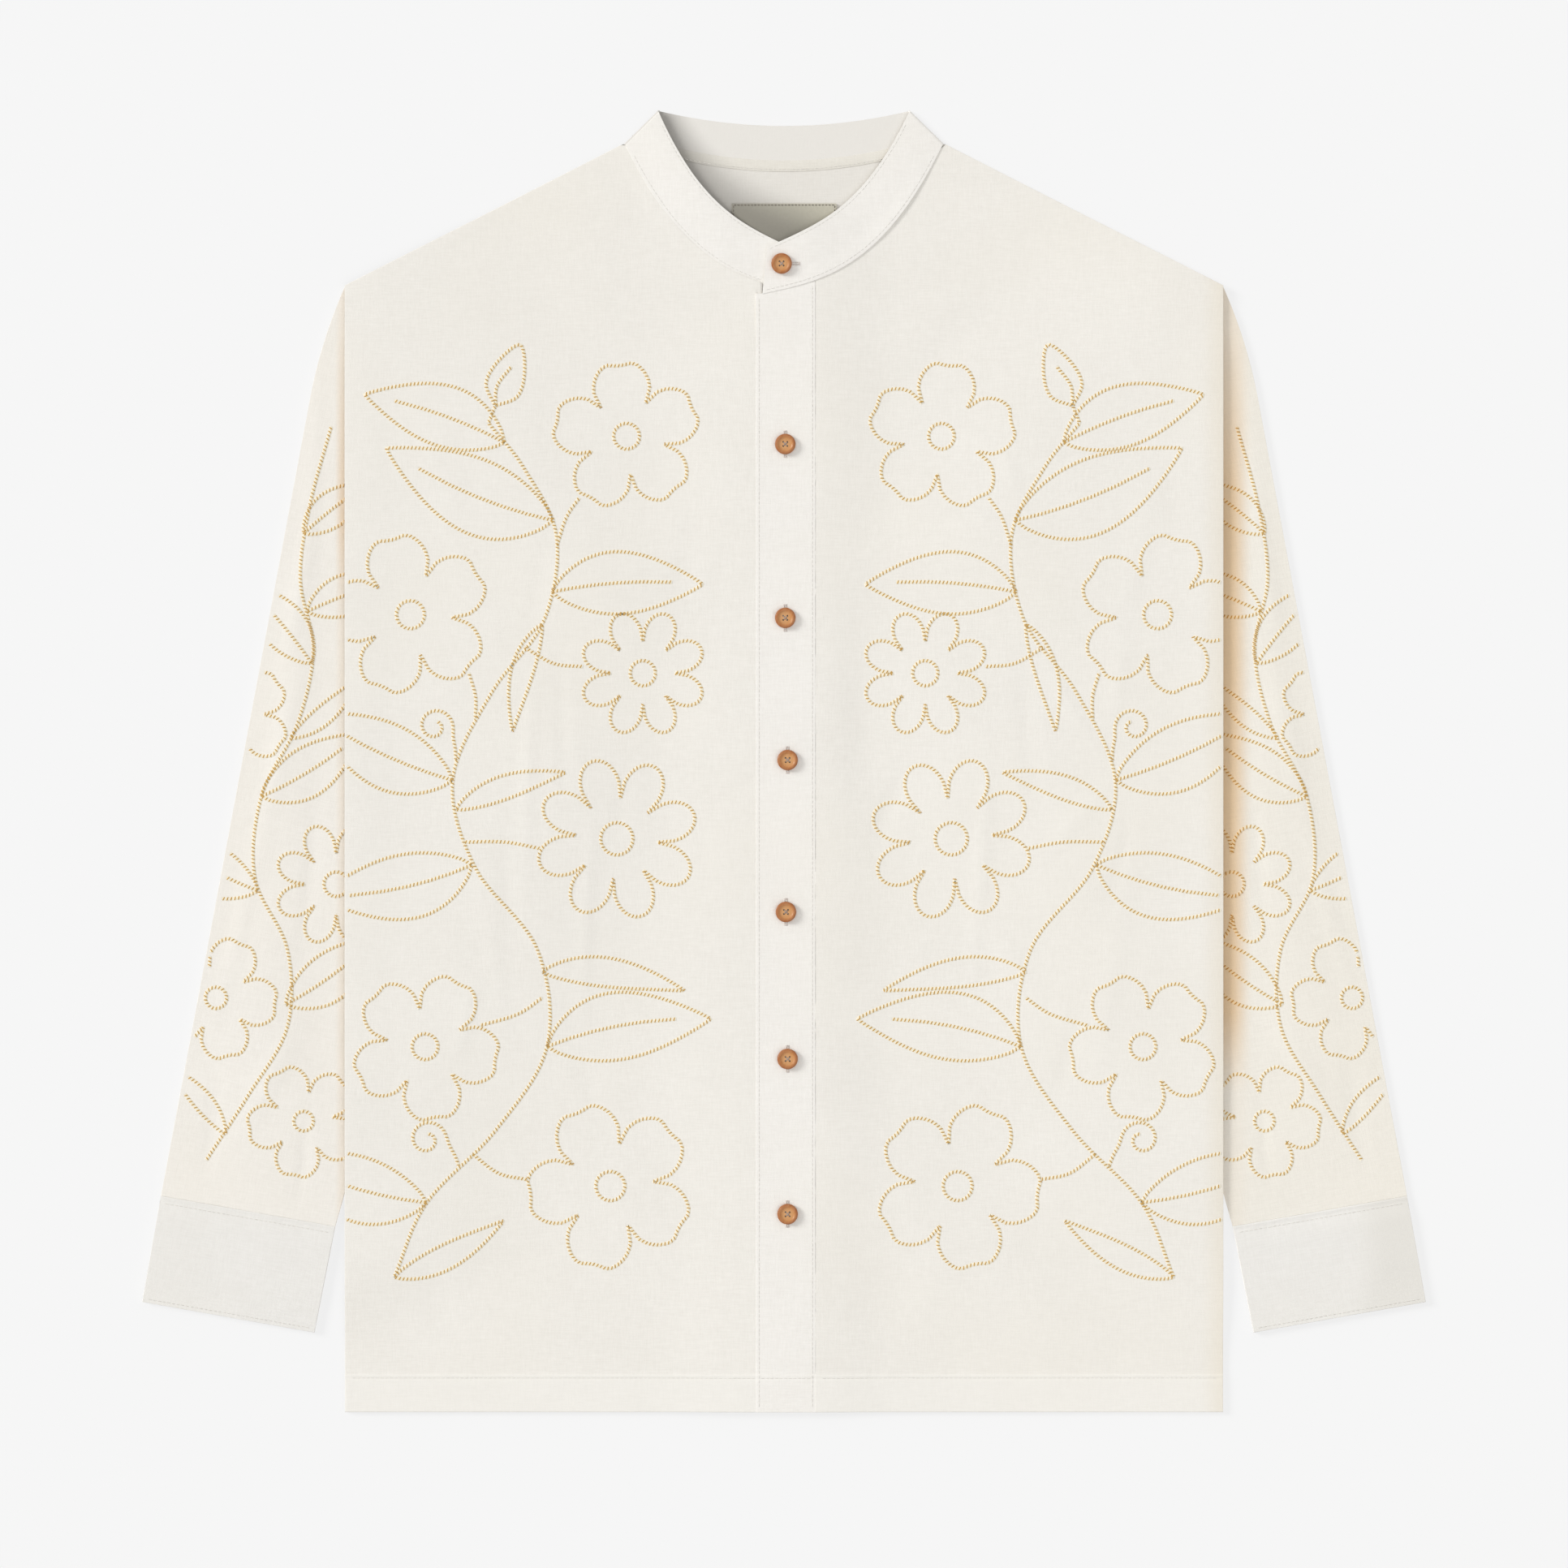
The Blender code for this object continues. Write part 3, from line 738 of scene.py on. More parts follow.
# The first six folds are the solids' own
FRONT_FOLDS = soft_folds(
    (-142, -60, 4, 130, 34, 12, 0.4),
    (-105, 205, -24, 95, 36, -14, 0.3),
    (-85, -290, -10, 85, 32, -10, 0.3),
    (98, 20, -5, 140, 36, 14, 0.4),
    (150, 215, 30, 90, 36, 12, 0.3),
    (165, -265, 9, 90, 34, 10, 0.3),
    (-158, -10, 2, 90, 7, 4, 0.55),
    (-136, 20, -3, 80, 6, -3, -0.4),
    (-122, -95, 3, 90, 6, 3, 0.55),
    (-178, -120, -6, 80, 9, -4, 0.4),
    (-60, 120, 8, 70, 14, 5, -0.3),
    (-205, 150, -12, 90, 16, 6, 0.3),
    (-215, -330, -18, 60, 14, 4, -0.2),
    (-150, 300, -62, 80, 16, -6, 0.3),
    (48, 30, -2, 110, 18, 4, -0.6),
    (122, -60, 4, 100, 8, -4, 0.5),
    (150, 20, -5, 80, 9, 3, -0.4),
    (200, -140, 7, 90, 11, 5, 0.3),
    (100, 255, 48, 90, 20, 8, -0.4),
    (215, 120, 16, 80, 14, -5, 0.3),
    (90, -325, 22, 60, 14, -4, 0.2),
    (-170, -78, -8, 45, 6, 3, -0.4),
    (-100, -30, 12, 40, 8, -3, -0.3),
    (-196, -158, 14, 40, 7, 3, 0.4),
    (-120, -200, -20, 50, 10, 4, -0.3),
    (-150, 110, 10, 45, 8, -3, -0.3),
    (64, -31, 22, 34, 10, 2, -0.5),
    (176, 34, -30, 45, 7, 3, 0.5),
    (206, 50, 6, 38, 9, -2, 0.5),
    (182, -34, 42, 50, 7, 3, 0.4),
    (208, -60, 12, 45, 6, -3, -0.4),
    (140, -120, -34, 45, 8, 3, 0.4),
    (176, -180, 16, 45, 8, -3, -0.4),
    (140, 176, -16, 30, 8, 2, 0.4),
)


def seam_y(side, x):
    """Y of the front neck seam of a side."""
    s = max(0.0, (side * x + LAP) / (NECK_X + LAP))
    return FRONT_SEAM_Y + (NECK_Y - FRONT_SEAM_Y) * ((1.0 - SEAM_BEND) * s + SEAM_BEND * s ** 3)


def front_top(side, x):
    """Upper end of a front at X."""
    return shoulder_y(x) if side * x > NECK_X - TINY else seam_y(side, x)


def edge_drop(x, y):
    """How far a front rolls down towards the back at its side, shoulder and hem."""
    past_neck = smooth((abs(x) - NECK_X + 0.004) / 0.010)
    inside = min(SIDE - abs(x), between(1.0, (shoulder_y(x) - y) * 0.89, past_neck), 2.0 * (y - HEM_Y))
    away = min(1.0, max(0.0, inside / EDGE_ROLL))
    return EDGE_DROP * (1.0 - math.sqrt(1.0 - (1.0 - away) ** 2))


def soft(x, y):
    """Unevenness that the fronts and the placket share."""
    return sum(ripple(x, y, *row) for row in BODY_RIPPLES)


def front_face(side, x, y):
    """Upper face of a front before its placket, a little raised along the seam of the neck."""
    height = back_under(x, y) + LAYER + WALL + fold_height(FRONT_FOLDS, x, y) + 2.0 * hem_rise(y)
    at_neck = (1.0 - smooth((seam_y(side, x) - y) / NECK_RISE_REACH)) * smooth((0.110 - abs(x)) / 0.012)
    return height + soft(x, y) + NECK_RISE * at_neck * (side < 0) - edge_drop(x, y)


def left_front_face(x, y):
    """Upper face of the wearer's left front, which rises to its placket."""
    return front_face(1, x, y) + LEFT_RISE * (1.0 - smooth((x - PLACKET_RIGHT) / LEFT_RISE_RUN))


def right_front_face(x, y):
    """Upper face of the wearer's right front, which rises to the edge of the placket and dips under it."""
    past = x - PLACKET_LEFT
    below = FRONT_SEAM_Y - y
    rise = RIGHT_RISE * smooth(past / RIGHT_RISE_RUN + 1.0) * (0.6 + 0.4 * smooth(below / 0.030))
    dip = RIGHT_DIP * smooth(past / RIGHT_DIP_RUN) * smooth(below / 0.003)
    return front_face(-1, x, y) + rise - dip


# The vine on the wearer's left front, in millimetres: its stems, and each motif's kind, place, size, turn in
# degrees and bend. The other front carries its mirror image
FRONT_STEMS = (
    ((240, -318), (220, -272), (178, -228), (146, -176), (152, -116), (190, -66),
     (204, -12), (180, 42), (148, 86), (140, 138), (160, 180), (182, 208)),
    ((192, -242), (176, -254), (158, -258)),
    ((149, -146), (164, -156), (187, -163)),
    ((197, -50), (172, -50), (150, -54)),
    ((190, 26), (190, 40), (194, 54)),
    ((160, 70), (142, 60), (124, 58)),
    ((140, 132), (134, 150), (126, 162)),
)
FRONT_VINE = (
    ("flower", 107, -262, 106, 12, 0),
    ("flower", 221, -176, 94, -8, 0),
    ("daisy", 103, -48, 100, 5, 0),
    ("flower", 230, 90, 102, 22, 0),
    ("daisy", 87, 54, 78, 0, 0),
    ("flower", 97, 200, 94, 30, 0),
    ("leaf", 146, -176, 100, 68, -0.22),
    ("leaf", 220, -272, 96, -84, -0.20),
    ("leaf", 192, -64, 96, -114, -0.22),
    ("leaf", 204, -12, 96, -74, -0.16),
    ("leaf", 143, 104, 92, 78, -0.16),
    ("leaf", 142, 148, 110, -78, -0.20),
    ("leaf", 172, 196, 90, -62, 0.16),
    ("blade", 149, -130, 86, 84, -0.24),
    ("blade", 202, -30, 70, 60, -0.20),
    ("blade", 240, -318, 74, 74, 0.20),
    ("blade", 149, 84, 66, -150, 0.26),
    ("bud", 182, 208, 52, 22, 0),
    ("tendril", 200, -250, 46, -14, 0),
    ("tendril", 202, 0, 44, 4, 0),
)


def on_front(x, y):
    """Whether a point of the vine lies on a front."""
    return PLACKET_RIGHT + VINE_FROM_PLACKET < abs(x) < SIDE - VINE_FROM_SIDE


def front_piece(side, word, columns, face):
    """One front with its vine and the sewing of its hem."""
    piece = panel(word + "_front", columns, lambda x: front_top(side, x), face, body_linen)
    vine = embroider(word + "_vine", side, FRONT_STEMS, FRONT_VINE, face, on_front, 5 + side)
    line = [(columns[0] + 0.004, HEM_LINE_Y), (columns[-1] - 0.004, HEM_LINE_Y)]
    hem = sewn(word + "_hem_sewing", seam_stitches(line, face), sewing_thread)
    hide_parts("front_" + word)


left_columns = [PLACKET_RIGHT + d for d in (-0.0002, 0.0001)]
left_columns += panel_columns(PLACKET_RIGHT + 0.0007, SIDE, FRONT_PITCH)
front_piece(1, "left", left_columns, left_front_face)
right_columns = panel_columns(-SIDE, PLACKET_LEFT - 0.0008, FRONT_PITCH)
right_columns += [PLACKET_LEFT + d for d in (-0.0001, 0.0002, 0.0006, 0.0012, 0.0024, 0.0040)]
front_piece(-1, "right", right_columns, right_front_face)

# Sleeves.
# One-piece sleeves, flat tubes folded at the outer edge, with their underarm side behind the body. A warm
# shadow is painted on the cloth beside the body's edge, and soft creases run down the arm. The painted shadow
# strip has its depth, its width, the height where it ends and what is left of it below that.
SLEEVES = (
    {"side": 1, "word": "left", "colour": (0.886, 0.850, 0.776), "strip": (0.95, 0.0190, -0.205, 0.12)},
    {"side": -1, "word": "right", "colour": (0.900, 0.866, 0.806), "strip": (0.62, 0.0070, 0.095, 0.35)},
)
# Colour that multiplies the sleeves and their vine where the warm shadow is painted beside the body's edge
EDGE_SHADOW_COLOUR = (0.88, 0.670, 0.455)
SLEEVE_LEAN = math.radians(10.6)
SLEEVE_SLOPE = 0.187
CUFF_SEAM_OUTER = (0.3840, -0.2680)
CAP_HEIGHT = 0.068
SLEEVE_LOFT = 0.0009
LOFT_CLEAR = 0.012
RIGHT_FOLDS_SHIFT = 0.012
SLEEVE_RIPPLE = (30.0, 0.00018)
VINE_FROM_FOLD = 0.0026
SLEEVE_ROWS = 118
SLEEVE_COLUMNS = 54
TURN_STEPS = 8
PRESSED = 0.15
TIGHT = (0.0, 0.0001, 0.0003, 0.0008)
SLEEVE_FOLDS = soft_folds(
    (298, 120, -9, 90, 8, 3, 0.4),
    (312, 10, -12, 100, 10, -4, 0.5),
    (292, -60, -5, 80, 7, 3, -0.4),
    (335, -90, -14, 90, 9, 4, 0.4),
    (318, -185, -28, 60, 12, -5, 0.5),
    (352, -215, -8, 50, 9, 3, -0.4),
    (296, -235, -6, 45, 6, 2, -0.4),
)


def sleeve_outer(k):
    """Outer edge of a sleeve at k from the cuff seam to the shoulder tip."""
    y = between(CUFF_SEAM_OUTER[1], TIP_Y, k)
    straight = CUFF_SEAM_OUTER[0] - SLEEVE_SLOPE * (y - CUFF_SEAM_OUTER[1])
    at_tip = CUFF_SEAM_OUTER[0] - SLEEVE_SLOPE * (TIP_Y - CUFF_SEAM_OUTER[1]) - SIDE
    cap = max(0.0, (y - TIP_Y + CAP_HEIGHT) / CAP_HEIGHT)
    return straight - at_tip * cap ** 2, y


def sleeve_inner(k):
    """Inner edge of a sleeve at k from the cuff seam to the underarm."""
    return tuple(between(a, b, k) for a, b in zip(CUFF_SEAM_INNER, UNDERARM))


def sleeve_lift(side, x, y, k):
    """What a sleeve's front wall rises by beyond the body's edge: loft, ripples and creases."""
    past = x - SIDE
    if past <= 0.0:
        return 0.0
    span = max(0.001, sleeve_outer(k)[0] - SIDE)
    across = (past - LOFT_CLEAR) / max(GAP, span - LOFT_CLEAR)
    loft = SLEEVE_LOFT * smooth(2.0 * min(across, 1.0 - across)) * smooth(k / 0.12) * smooth(span / 0.075)
    shift = RIGHT_FOLDS_SHIFT if side < 0 else 0.0
    inside = smooth(past / 0.006) * smooth((span - past) / 0.010) * smooth(k / 0.04) * smooth(span / 0.045)
    return loft + inside * (fold_height(SLEEVE_FOLDS, x, y + shift) + ripple(side * x, y, *SLEEVE_RIPPLE))


def sleeve_face(side, x, y):
    """Upper face of a sleeve at a point, which lies on the line across the sleeve at some k."""
    low, high = 0.0, 1.0
    for step in range(16):
        k = (low + high) / 2
        inner, outer = sleeve_inner(k), sleeve_outer(k)
        if between(inner[1], outer[1], (x - inner[0]) / (outer[0] - inner[0])) < y:
            low = k
        else:
            high = k
    return 2 * WALL + GAP + sleeve_lift(side, x, y, k)


def flat_ring(inner, outer, wall, columns, lift):
    """Outer face of a flattened tube: over the top from inner to outer, round, back below and round."""
    radius = wall + GAP / 2
    width = math.dist(inner, outer)
    margin = PRESSED * radius / width
    tight = [margin + d / width for d in TIGHT]
    across = tight[:-1] + spaced_by(tight[-1], 1.0 - tight[-1], columns)
    across += [1.0 - t for t in reversed(tight[:-1])]

    def at(t, z):
        return between(inner[0], outer[0], t), between(inner[1], outer[1], t), z

    def turned(middle, side):
        angles = [math.pi * (0.5 - k / TURN_STEPS) for k in range(1, TURN_STEPS)]
        return [at(middle + side * margin * math.cos(a), radius * (1.0 + side * math.sin(a))) for a in angles]

    top = [at(t, 2 * radius + lift(*at(t, 0.0)[:2])) for t in across]
    below = [at(t, 0.0) for t in reversed(across)]
    return top + turned(1.0 - margin, 1.0) + below + turned(margin, -1.0) + top[:1]


def tube(name, side, rings, material, wall):
    """A flattened open tube through its rings, mirrored for the wearer's right."""
    def place(column, row):
        x, y, z = rings[row][column]
        return side * x, y, z

    return cloth(name, len(rings[0]) - 1, len(rings) - 1, place, material, wall, side < 0, weld=True)


def painted_edge_shadow(side, depth, wide, low, floor):
    """A warm shadow painted on the linen beside the body's edge, least at its ends."""
    def tint(finish, shade):
        x, y = finish.axis(0), finish.axis(1)
        near = finish.span(x * side, SIDE + wide, SIDE + 0.25 * wide, kind="SMOOTHSTEP") * depth
        near = near * finish.span(y, low, low + 0.050, floor, 1.0) * finish.span(y, 0.270, 0.160, 0.3, 1.0)
        return finish.mix(near, shade, EDGE_SHADOW_COLOUR, "MULTIPLY")

    return tint


SLEEVE_STEMS = (
    ((356, -246), (330, -206), (306, -164), (306, -116), (326, -72), (322, -22),
     (300, 22), (290, 68), (298, 112), (292, 158), (279, 206)),
)
SLEEVE_VINE = (
    ("flower", 296, -222, 72, 10, 0),
    ("flower", 350, -146, 78, -12, 0),
    ("daisy", 276, -76, 76, 0, 0),
    ("flower", 338, 28, 70, 16, 0),
    ("leaf", 307, -150, 70, 62, 0.15),
    ("leaf", 324, -80, 72, -70, -0.15),
    ("leaf", 322, -22, 72, 66, 0.15),
    ("leaf", 291, 60, 66, -34, 0.12),
    ("leaf", 294, 92, 60, 64, -0.12),
    ("leaf", 296, 140, 52, 46, -0.12),
    ("blade", 304, 14, 56, 60, 0.2),
    ("blade", 344, -230, 56, -30, 0.2),
)


def on_sleeve(x, y):
    """Whether a point of the vine lies on the sleeve's upper wall, beyond the body's edge."""
    k = (y - CUFF_SEAM_OUTER[1]) / (TIP_Y - CUFF_SEAM_OUTER[1])
    return 0.02 < k < 0.98 and SIDE - VINE_FROM_SIDE < abs(x) < sleeve_outer(k)[0] - VINE_FROM_FOLD


def sleeve_piece(side, word, colour, strip):
    """One sleeve with its vine."""
    tint = painted_edge_shadow(side, *strip)
    weave = linen(word + "_sleeve_linen", colour, -side * SLEEVE_LEAN, tint)
    rings = []
    for k in [0.0, 0.0004, 0.0012] + spaced_by(0.0, 1.0, SLEEVE_ROWS)[1:-1] + [0.9994, 1.0]:
        rings.append(flat_ring(sleeve_inner(k), sleeve_outer(k), WALL, SLEEVE_COLUMNS,
                               lambda x, y: sleeve_lift(side, x, y, k)))
    sleeve = tube(word + "_sleeve", side, rings, weave, CLOTH)

    def face(x, y):
        return sleeve_face(side, side * x, y)

    # The vine's cord and ties carry the same painted shadow as the sleeve's linen.
    vine = embroider(word + "_sleeve_vine", side, SLEEVE_STEMS, SLEEVE_VINE, face, on_sleeve, 9 + side, tint)
    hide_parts("sleeve_" + word)


for row in SLEEVES:
    sleeve_piece(**row)

# Cuffs.
# Straight bands of doubled linen sewn to the sleeves' ends, closed all round, a little stiffer and cooler in
# tone.
CUFF_COLOUR = (0.858, 0.840, 0.804)
# Colour of the shade painted on the outer part of the wearer's left cuff
CUFF_SHADOW_COLOUR = (0.79, 0.765, 0.71)
CUFF_WALL = 0.0015
CUFF_CLOTH = 0.0009
CUFF_END_OUTER = (0.3955, -0.3333)
CUFF_END_INNER = (0.2893, -0.3522)
CUFF_COLUMNS = 36
CUFF_SEWING = (0.035, 0.935)
CUFF_RIPPLE = (45.0, 0.00018)
CUFF_PUCKERS = (190.0, 0.00022)
CUFF_RIDGE = 0.00035


def cuff_edges(k):
    """The inner and the outer edge of a cuff at k from its open end to the sleeve."""
    ends = ((CUFF_END_INNER, CUFF_SEAM_INNER), (CUFF_END_OUTER, CUFF_SEAM_OUTER))
    return [tuple(between(a, b, k) for a, b in zip(*edge)) for edge in ends]


def cuff_lift(side, x, y, k):
    """Unevenness of a cuff's front wall, and its small puckers and ridge along the seam."""
    puckers = ripple(side * x, y, *CUFF_PUCKERS) * smooth(1.0 - abs(k - 0.95) / 0.09)
    ridge = CUFF_RIDGE * smooth(1.0 - abs(k - 0.985) / 0.022)
    return ripple(side * x, y, *CUFF_RIPPLE) + puckers + ridge


def cuff_painted_shade(finish, shade):
    """Painted shade on the wearer's left cuff, greyer towards its outer edge."""
    outer = finish.span(finish.axis(0), 0.348, 0.372, to_high=0.8, kind="SMOOTHSTEP")
    return finish.mix(outer, shade, CUFF_SHADOW_COLOUR)


def cuff_wall(k):
    """A cuff's thickness, which comes down to the sleeve's at the seam."""
    return between(CUFF_WALL, WALL + 0.00004, smooth((k - 0.80) / 0.19))


def cuff_piece(side, word):
    """One cuff with two rows of sewing across it."""
    steps = [0.0, 0.005, 0.012, 0.022, 0.035, 0.06] + [k / 20 for k in range(2, 17)]
    steps += [0.83, 0.86, 0.89, 0.92, 0.935, 0.95, 0.965, 0.98, 0.99, 0.996, 1.0]
    rings = []
    for k in steps:
        rings.append(flat_ring(*cuff_edges(k), cuff_wall(k), CUFF_COLUMNS,
                               lambda x, y: cuff_lift(side, x, y, k)))
    weave = linen(word + "_cuff_linen", CUFF_COLOUR, -side * SLEEVE_LEAN, cuff_painted_shade)
    cuff = tube(word + "_cuff", side, rings, weave, CUFF_CLOTH)
    stitches = []
    for k in CUFF_SEWING:
        inner, outer = cuff_edges(k)
        line = [(side * between(inner[0], outer[0], t), between(inner[1], outer[1], t)) for t in (0.03, 0.97)]
        stitches += seam_stitches(line, lambda x, y: 2 * cuff_wall(k) + GAP + cuff_lift(side, side * x, y, k))
    sewing = sewn(word + "_cuff_sewing", stitches, sewing_thread)
    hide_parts("cuff_" + word)


for side, word in ((1, "left"), (-1, "right")):
    cuff_piece(side, word)

# Plackets.
# Straight pressed strips of doubled linen. The under one carries the buttons and shows as a narrow step
# beside the top one, which is worked with upright buttonholes.
BAND_COLOUR = (0.912, 0.886, 0.842)
HOLE_COLOUR = (0.87, 0.79, 0.73)
# Colour of the shade painted on the band's fold at the right neck point
FOLD_SHADE_COLOUR = (0.64, 0.615, 0.570)
PLACKET_WALL = 0.0014
PLACKET_CLOTH = 0.0008
PLACKET_WIDTH = 0.037
PLACKET_PITCH = 0.0022
PLACKET_EDGE_STEPS = [0.0, 0.0002, 0.0004, 0.0008, 0.0016]
PLACKET_PRESS = 0.00008
UNDER_PLACKET_WALL = 0.0012
UNDER_PLACKET_PITCH = 0.0046
BUTTONS = ["button_" + str(number) for number in range(1, 8)]
HOLE_LENGTH = 0.0162
HOLE_WIDTH = 0.0024
HOLE_PITCH = 0.00042
HOLE_SIDE = 0.27 * HOLE_WIDTH
HOLE_STITCH = (0.42 * HOLE_WIDTH, 0.0004, 0.0004)
BAR_STITCH = (HOLE_WIDTH, 0.0004, 0.0005)


def placket_face(x, y):
    """Upper face of the top placket, pressed down a little along its free edge."""
    base = back_under(x, y) + LAYER + UNDER_PLACKET + PLACKET_WALL
    pressed = PLACKET_PRESS * (1.0 - smooth((x - PLACKET_LEFT) / 0.0006))
    return base + 1.6 * hem_rise(y) + soft(x, y) - pressed


def under_placket_face(x, y):
    """Upper face of the under placket."""
    return LAYER + UNDER_PLACKET_WALL + hem_rise(y)


def buttonhole(x, y, turn, face):
    """Close crosswise stitches down both sides of a slit and a bar over each of its ends."""
    ahead = (math.cos(turn), math.sin(turn))
    stitches = []

    def add(along, across, size, rise):
        place = (x + along * ahead[0] - across * ahead[1], y + along * ahead[1] + across * ahead[0])
        stitches.append(on_face(face, place, ahead, math.pi / 2, size, rise))

    for along in spaced(-HOLE_LENGTH / 2, HOLE_LENGTH / 2, HOLE_PITCH):
        for across in (-HOLE_SIDE, HOLE_SIDE):
            add(along, across, HOLE_STITCH, 0.00006)
    for along in (-HOLE_LENGTH / 2, HOLE_LENGTH / 2):
        for shift in (-0.0002, 0.0002):
            add(along + shift, 0.0, BAR_STITCH, 0.00012)
    return stitches


def node_middle(node):
    """Middle of a node's box, seen from above."""
    low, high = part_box(node)
    return (low[0] + high[0]) / 2, (low[1] + high[1]) / 2


def band_painted_shade(finish, shade):
    """The band's lowest layer, inside the neck, has painted shade, deepest beside its right half.

    Shade is also painted on the outside of the fold at the right neck point, which faces the light, to tone
    it down.
    """
    x, y, z = (finish.axis(number) for number in range(3))
    fold = EDGE_X + (TOP_Y - y) * ((NECK_X - EDGE_X) / (TOP_Y - NECK_Y))
    fold_shade = finish.span(-1.0 * x - fold, -0.0020, -0.0011, to_high=0.9, kind="SMOOTHSTEP")
    # Below the band's upper layers the painted shade of the inside takes over.
    low = finish.span(z, 0.0021, 0.0014)
    shade = finish.mix(low, shade, painted_neck_shadow(finish, finish.mix(0.8, shade, SHADED_INSIDE_COLOUR)))
    return finish.mix(fold_shade, shade, FOLD_SHADE_COLOUR)


band_linen = linen("band_linen", BAND_COLOUR, tint=band_painted_shade)
hole_thread = thread("hole_thread", HOLE_COLOUR, scaled(HOLE_COLOUR, 0.80))
placket_columns = [PLACKET_LEFT + d for d in PLACKET_EDGE_STEPS]
placket_columns += spaced(PLACKET_LEFT + 0.0032, PLACKET_RIGHT - 0.0032, PLACKET_PITCH)
placket_columns += [PLACKET_RIGHT - d for d in reversed(PLACKET_EDGE_STEPS)]
placket = panel("button_placket", placket_columns, lambda x: seam_y(1, x), placket_face, band_linen,
                PLACKET_CLOTH)
under = panel("inner_placket", spaced(UNDER_LEFT, UNDER_LEFT + PLACKET_WIDTH, UNDER_PLACKET_PITCH),
              lambda x: seam_y(-1, x), under_placket_face, band_linen, WALL)
hem_line = [(PLACKET_LEFT + 0.003, HEM_LINE_Y), (PLACKET_RIGHT - 0.003, HEM_LINE_Y)]
stitches = seam_stitches(hem_line, placket_face)
for x in (PLACKET_LEFT + 0.0022, PLACKET_RIGHT - 0.0020):
    stitches += seam_stitches([(x, HEM_Y + 0.003), (x, seam_y(1, x) - 0.003)], placket_face)
placket_sewing = sewn("placket_sewing", stitches, sewing_thread)
holes = []
for node in BUTTONS[1:]:
    holes += buttonhole(*node_middle(node), math.pi / 2, placket_face)
placket_holes = sewn("placket_buttonholes", holes, hole_thread, 3)
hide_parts("placket")
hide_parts("under_placket")

# Band collar.
# One doubled band round the neck. Behind the neck it lies on the floor with its inside up, at both neck
# points it folds over and stands a little, and its left end laps over the right one above the placket. A
# narrow yellowish tape covers the band's seam behind the neck.
BAND_WALL = 0.0012
BAND_STAND = 0.0011
SEAM_STAND = 0.0005
END_RISE = 0.0013
FOLD_RISE = 0.0017
EDGE_LAP = 0.0105
BACK_EDGE_SAG = 0.0093
PRESSED_FOLD = 0.3
FRONT_REACH = 2.2
BACK_REACH = 0.9
FRONT_END = 0.965
BACK_END = 0.93
BAND_ROWS = 24
FRONT_STATIONS = 60
BACK_STATIONS = 60
TAPE_COLOUR = (0.818, 0.786, 0.716)
TAPE_WALL = 0.0003
TAPE_DEPTH = 0.0068
TAPE_COLUMNS = 90
TAPE_ROWS = (0.0, 0.03, 0.5, 0.97, 1.0)


def lap_inside(y):
    """Inner face of the band's ends, which rise over the label."""
    return LAYER + END_RISE * smooth((y - FRONT_SEAM_Y - 0.002) / 0.027)


def band_front_point(side, s, v):
    """Inner face of a front half of the band at s from its end to its fold and v from seam to top edge."""
    left = side > 0
    x0 = side * between(-LAP, NECK_X, s)
    x1 = side * between(-EDGE_LAP, EDGE_X, s)
    t = side * (x1 - V_X) / abs(side * EDGE_X - V_X)
    y1 = TOP_Y - FRONT_EDGE_DROP * (1.0 - (1.0 - EDGE_BEND) * t - EDGE_BEND * t ** 3)
    y = between(seam_y(side, x0), y1, v)
    past_lap = smooth((s - 0.25) / 0.38)
    at_fold = FOLD_RISE + (0.0006 if left else 0.0010) * math.sin(v * math.pi / 2)
    z = between(lap_inside(y), at_fold, past_lap)
    if left:
        z += UNDER_PLACKET * (1.0 - past_lap)
        z += SEAM_STAND * (1.0 - smooth(v / 0.35)) * (1.0 - smooth((s - 0.80) / 0.15))
    stand = BAND_STAND * (0.1 if left else 1.0) * smooth((s - 0.28) / 0.34)
    return between(x0, x1, v), y, z + stand * smooth(v * 0.9)


def back_edge_y(x):
    """Y of the top edge of the band's back."""
    return TOP_Y - BACK_EDGE_SAG * (1.0 - (x / EDGE_X) ** 2)


def band_back_point(f, v):
    """Inner face of the back of the band at f from its left fold to its right fold."""
    x0, x1, v = f * NECK_X, f * EDGE_X, max(0.0, v)
    return between(x0, x1, v), between(back_seam_y(x0), back_edge_y(x1), v), BAND_WALL


def fold_station(inset, v):
    """Where along a front half of the band a point lies that far inside its fold."""
    return 1.0 - inset / (FRONT_REACH * between(NECK_X + LAP, EDGE_X + EDGE_LAP, v))


def band_turn_radius(side, v):
    """Half the height between the back and the front of the band where it folds."""
    return (band_front_point(side, 1.0, v)[2] - BAND_WALL) / 2


def band_turn_point(side, step, v):
    """Inner face where the band folds round a neck point, from its back below to its front above."""
    radius = band_turn_radius(side, v)
    angle = math.pi * (step / TURN_STEPS - 0.5)
    inset = BAND_WALL + PRESSED_FOLD * radius * (1.0 - math.cos(angle))
    front = band_front_point(side, fold_station(inset, v), v)
    back = band_back_point(side * (1.0 - inset / (BACK_REACH * between(NECK_X, EDGE_X, v))), v)
    share = (1.0 + math.sin(angle)) / 2
    x, y = between(back[0], front[0], share), between(back[1], front[1], share)
    return x, y, BAND_WALL + radius + radius * math.sin(angle)


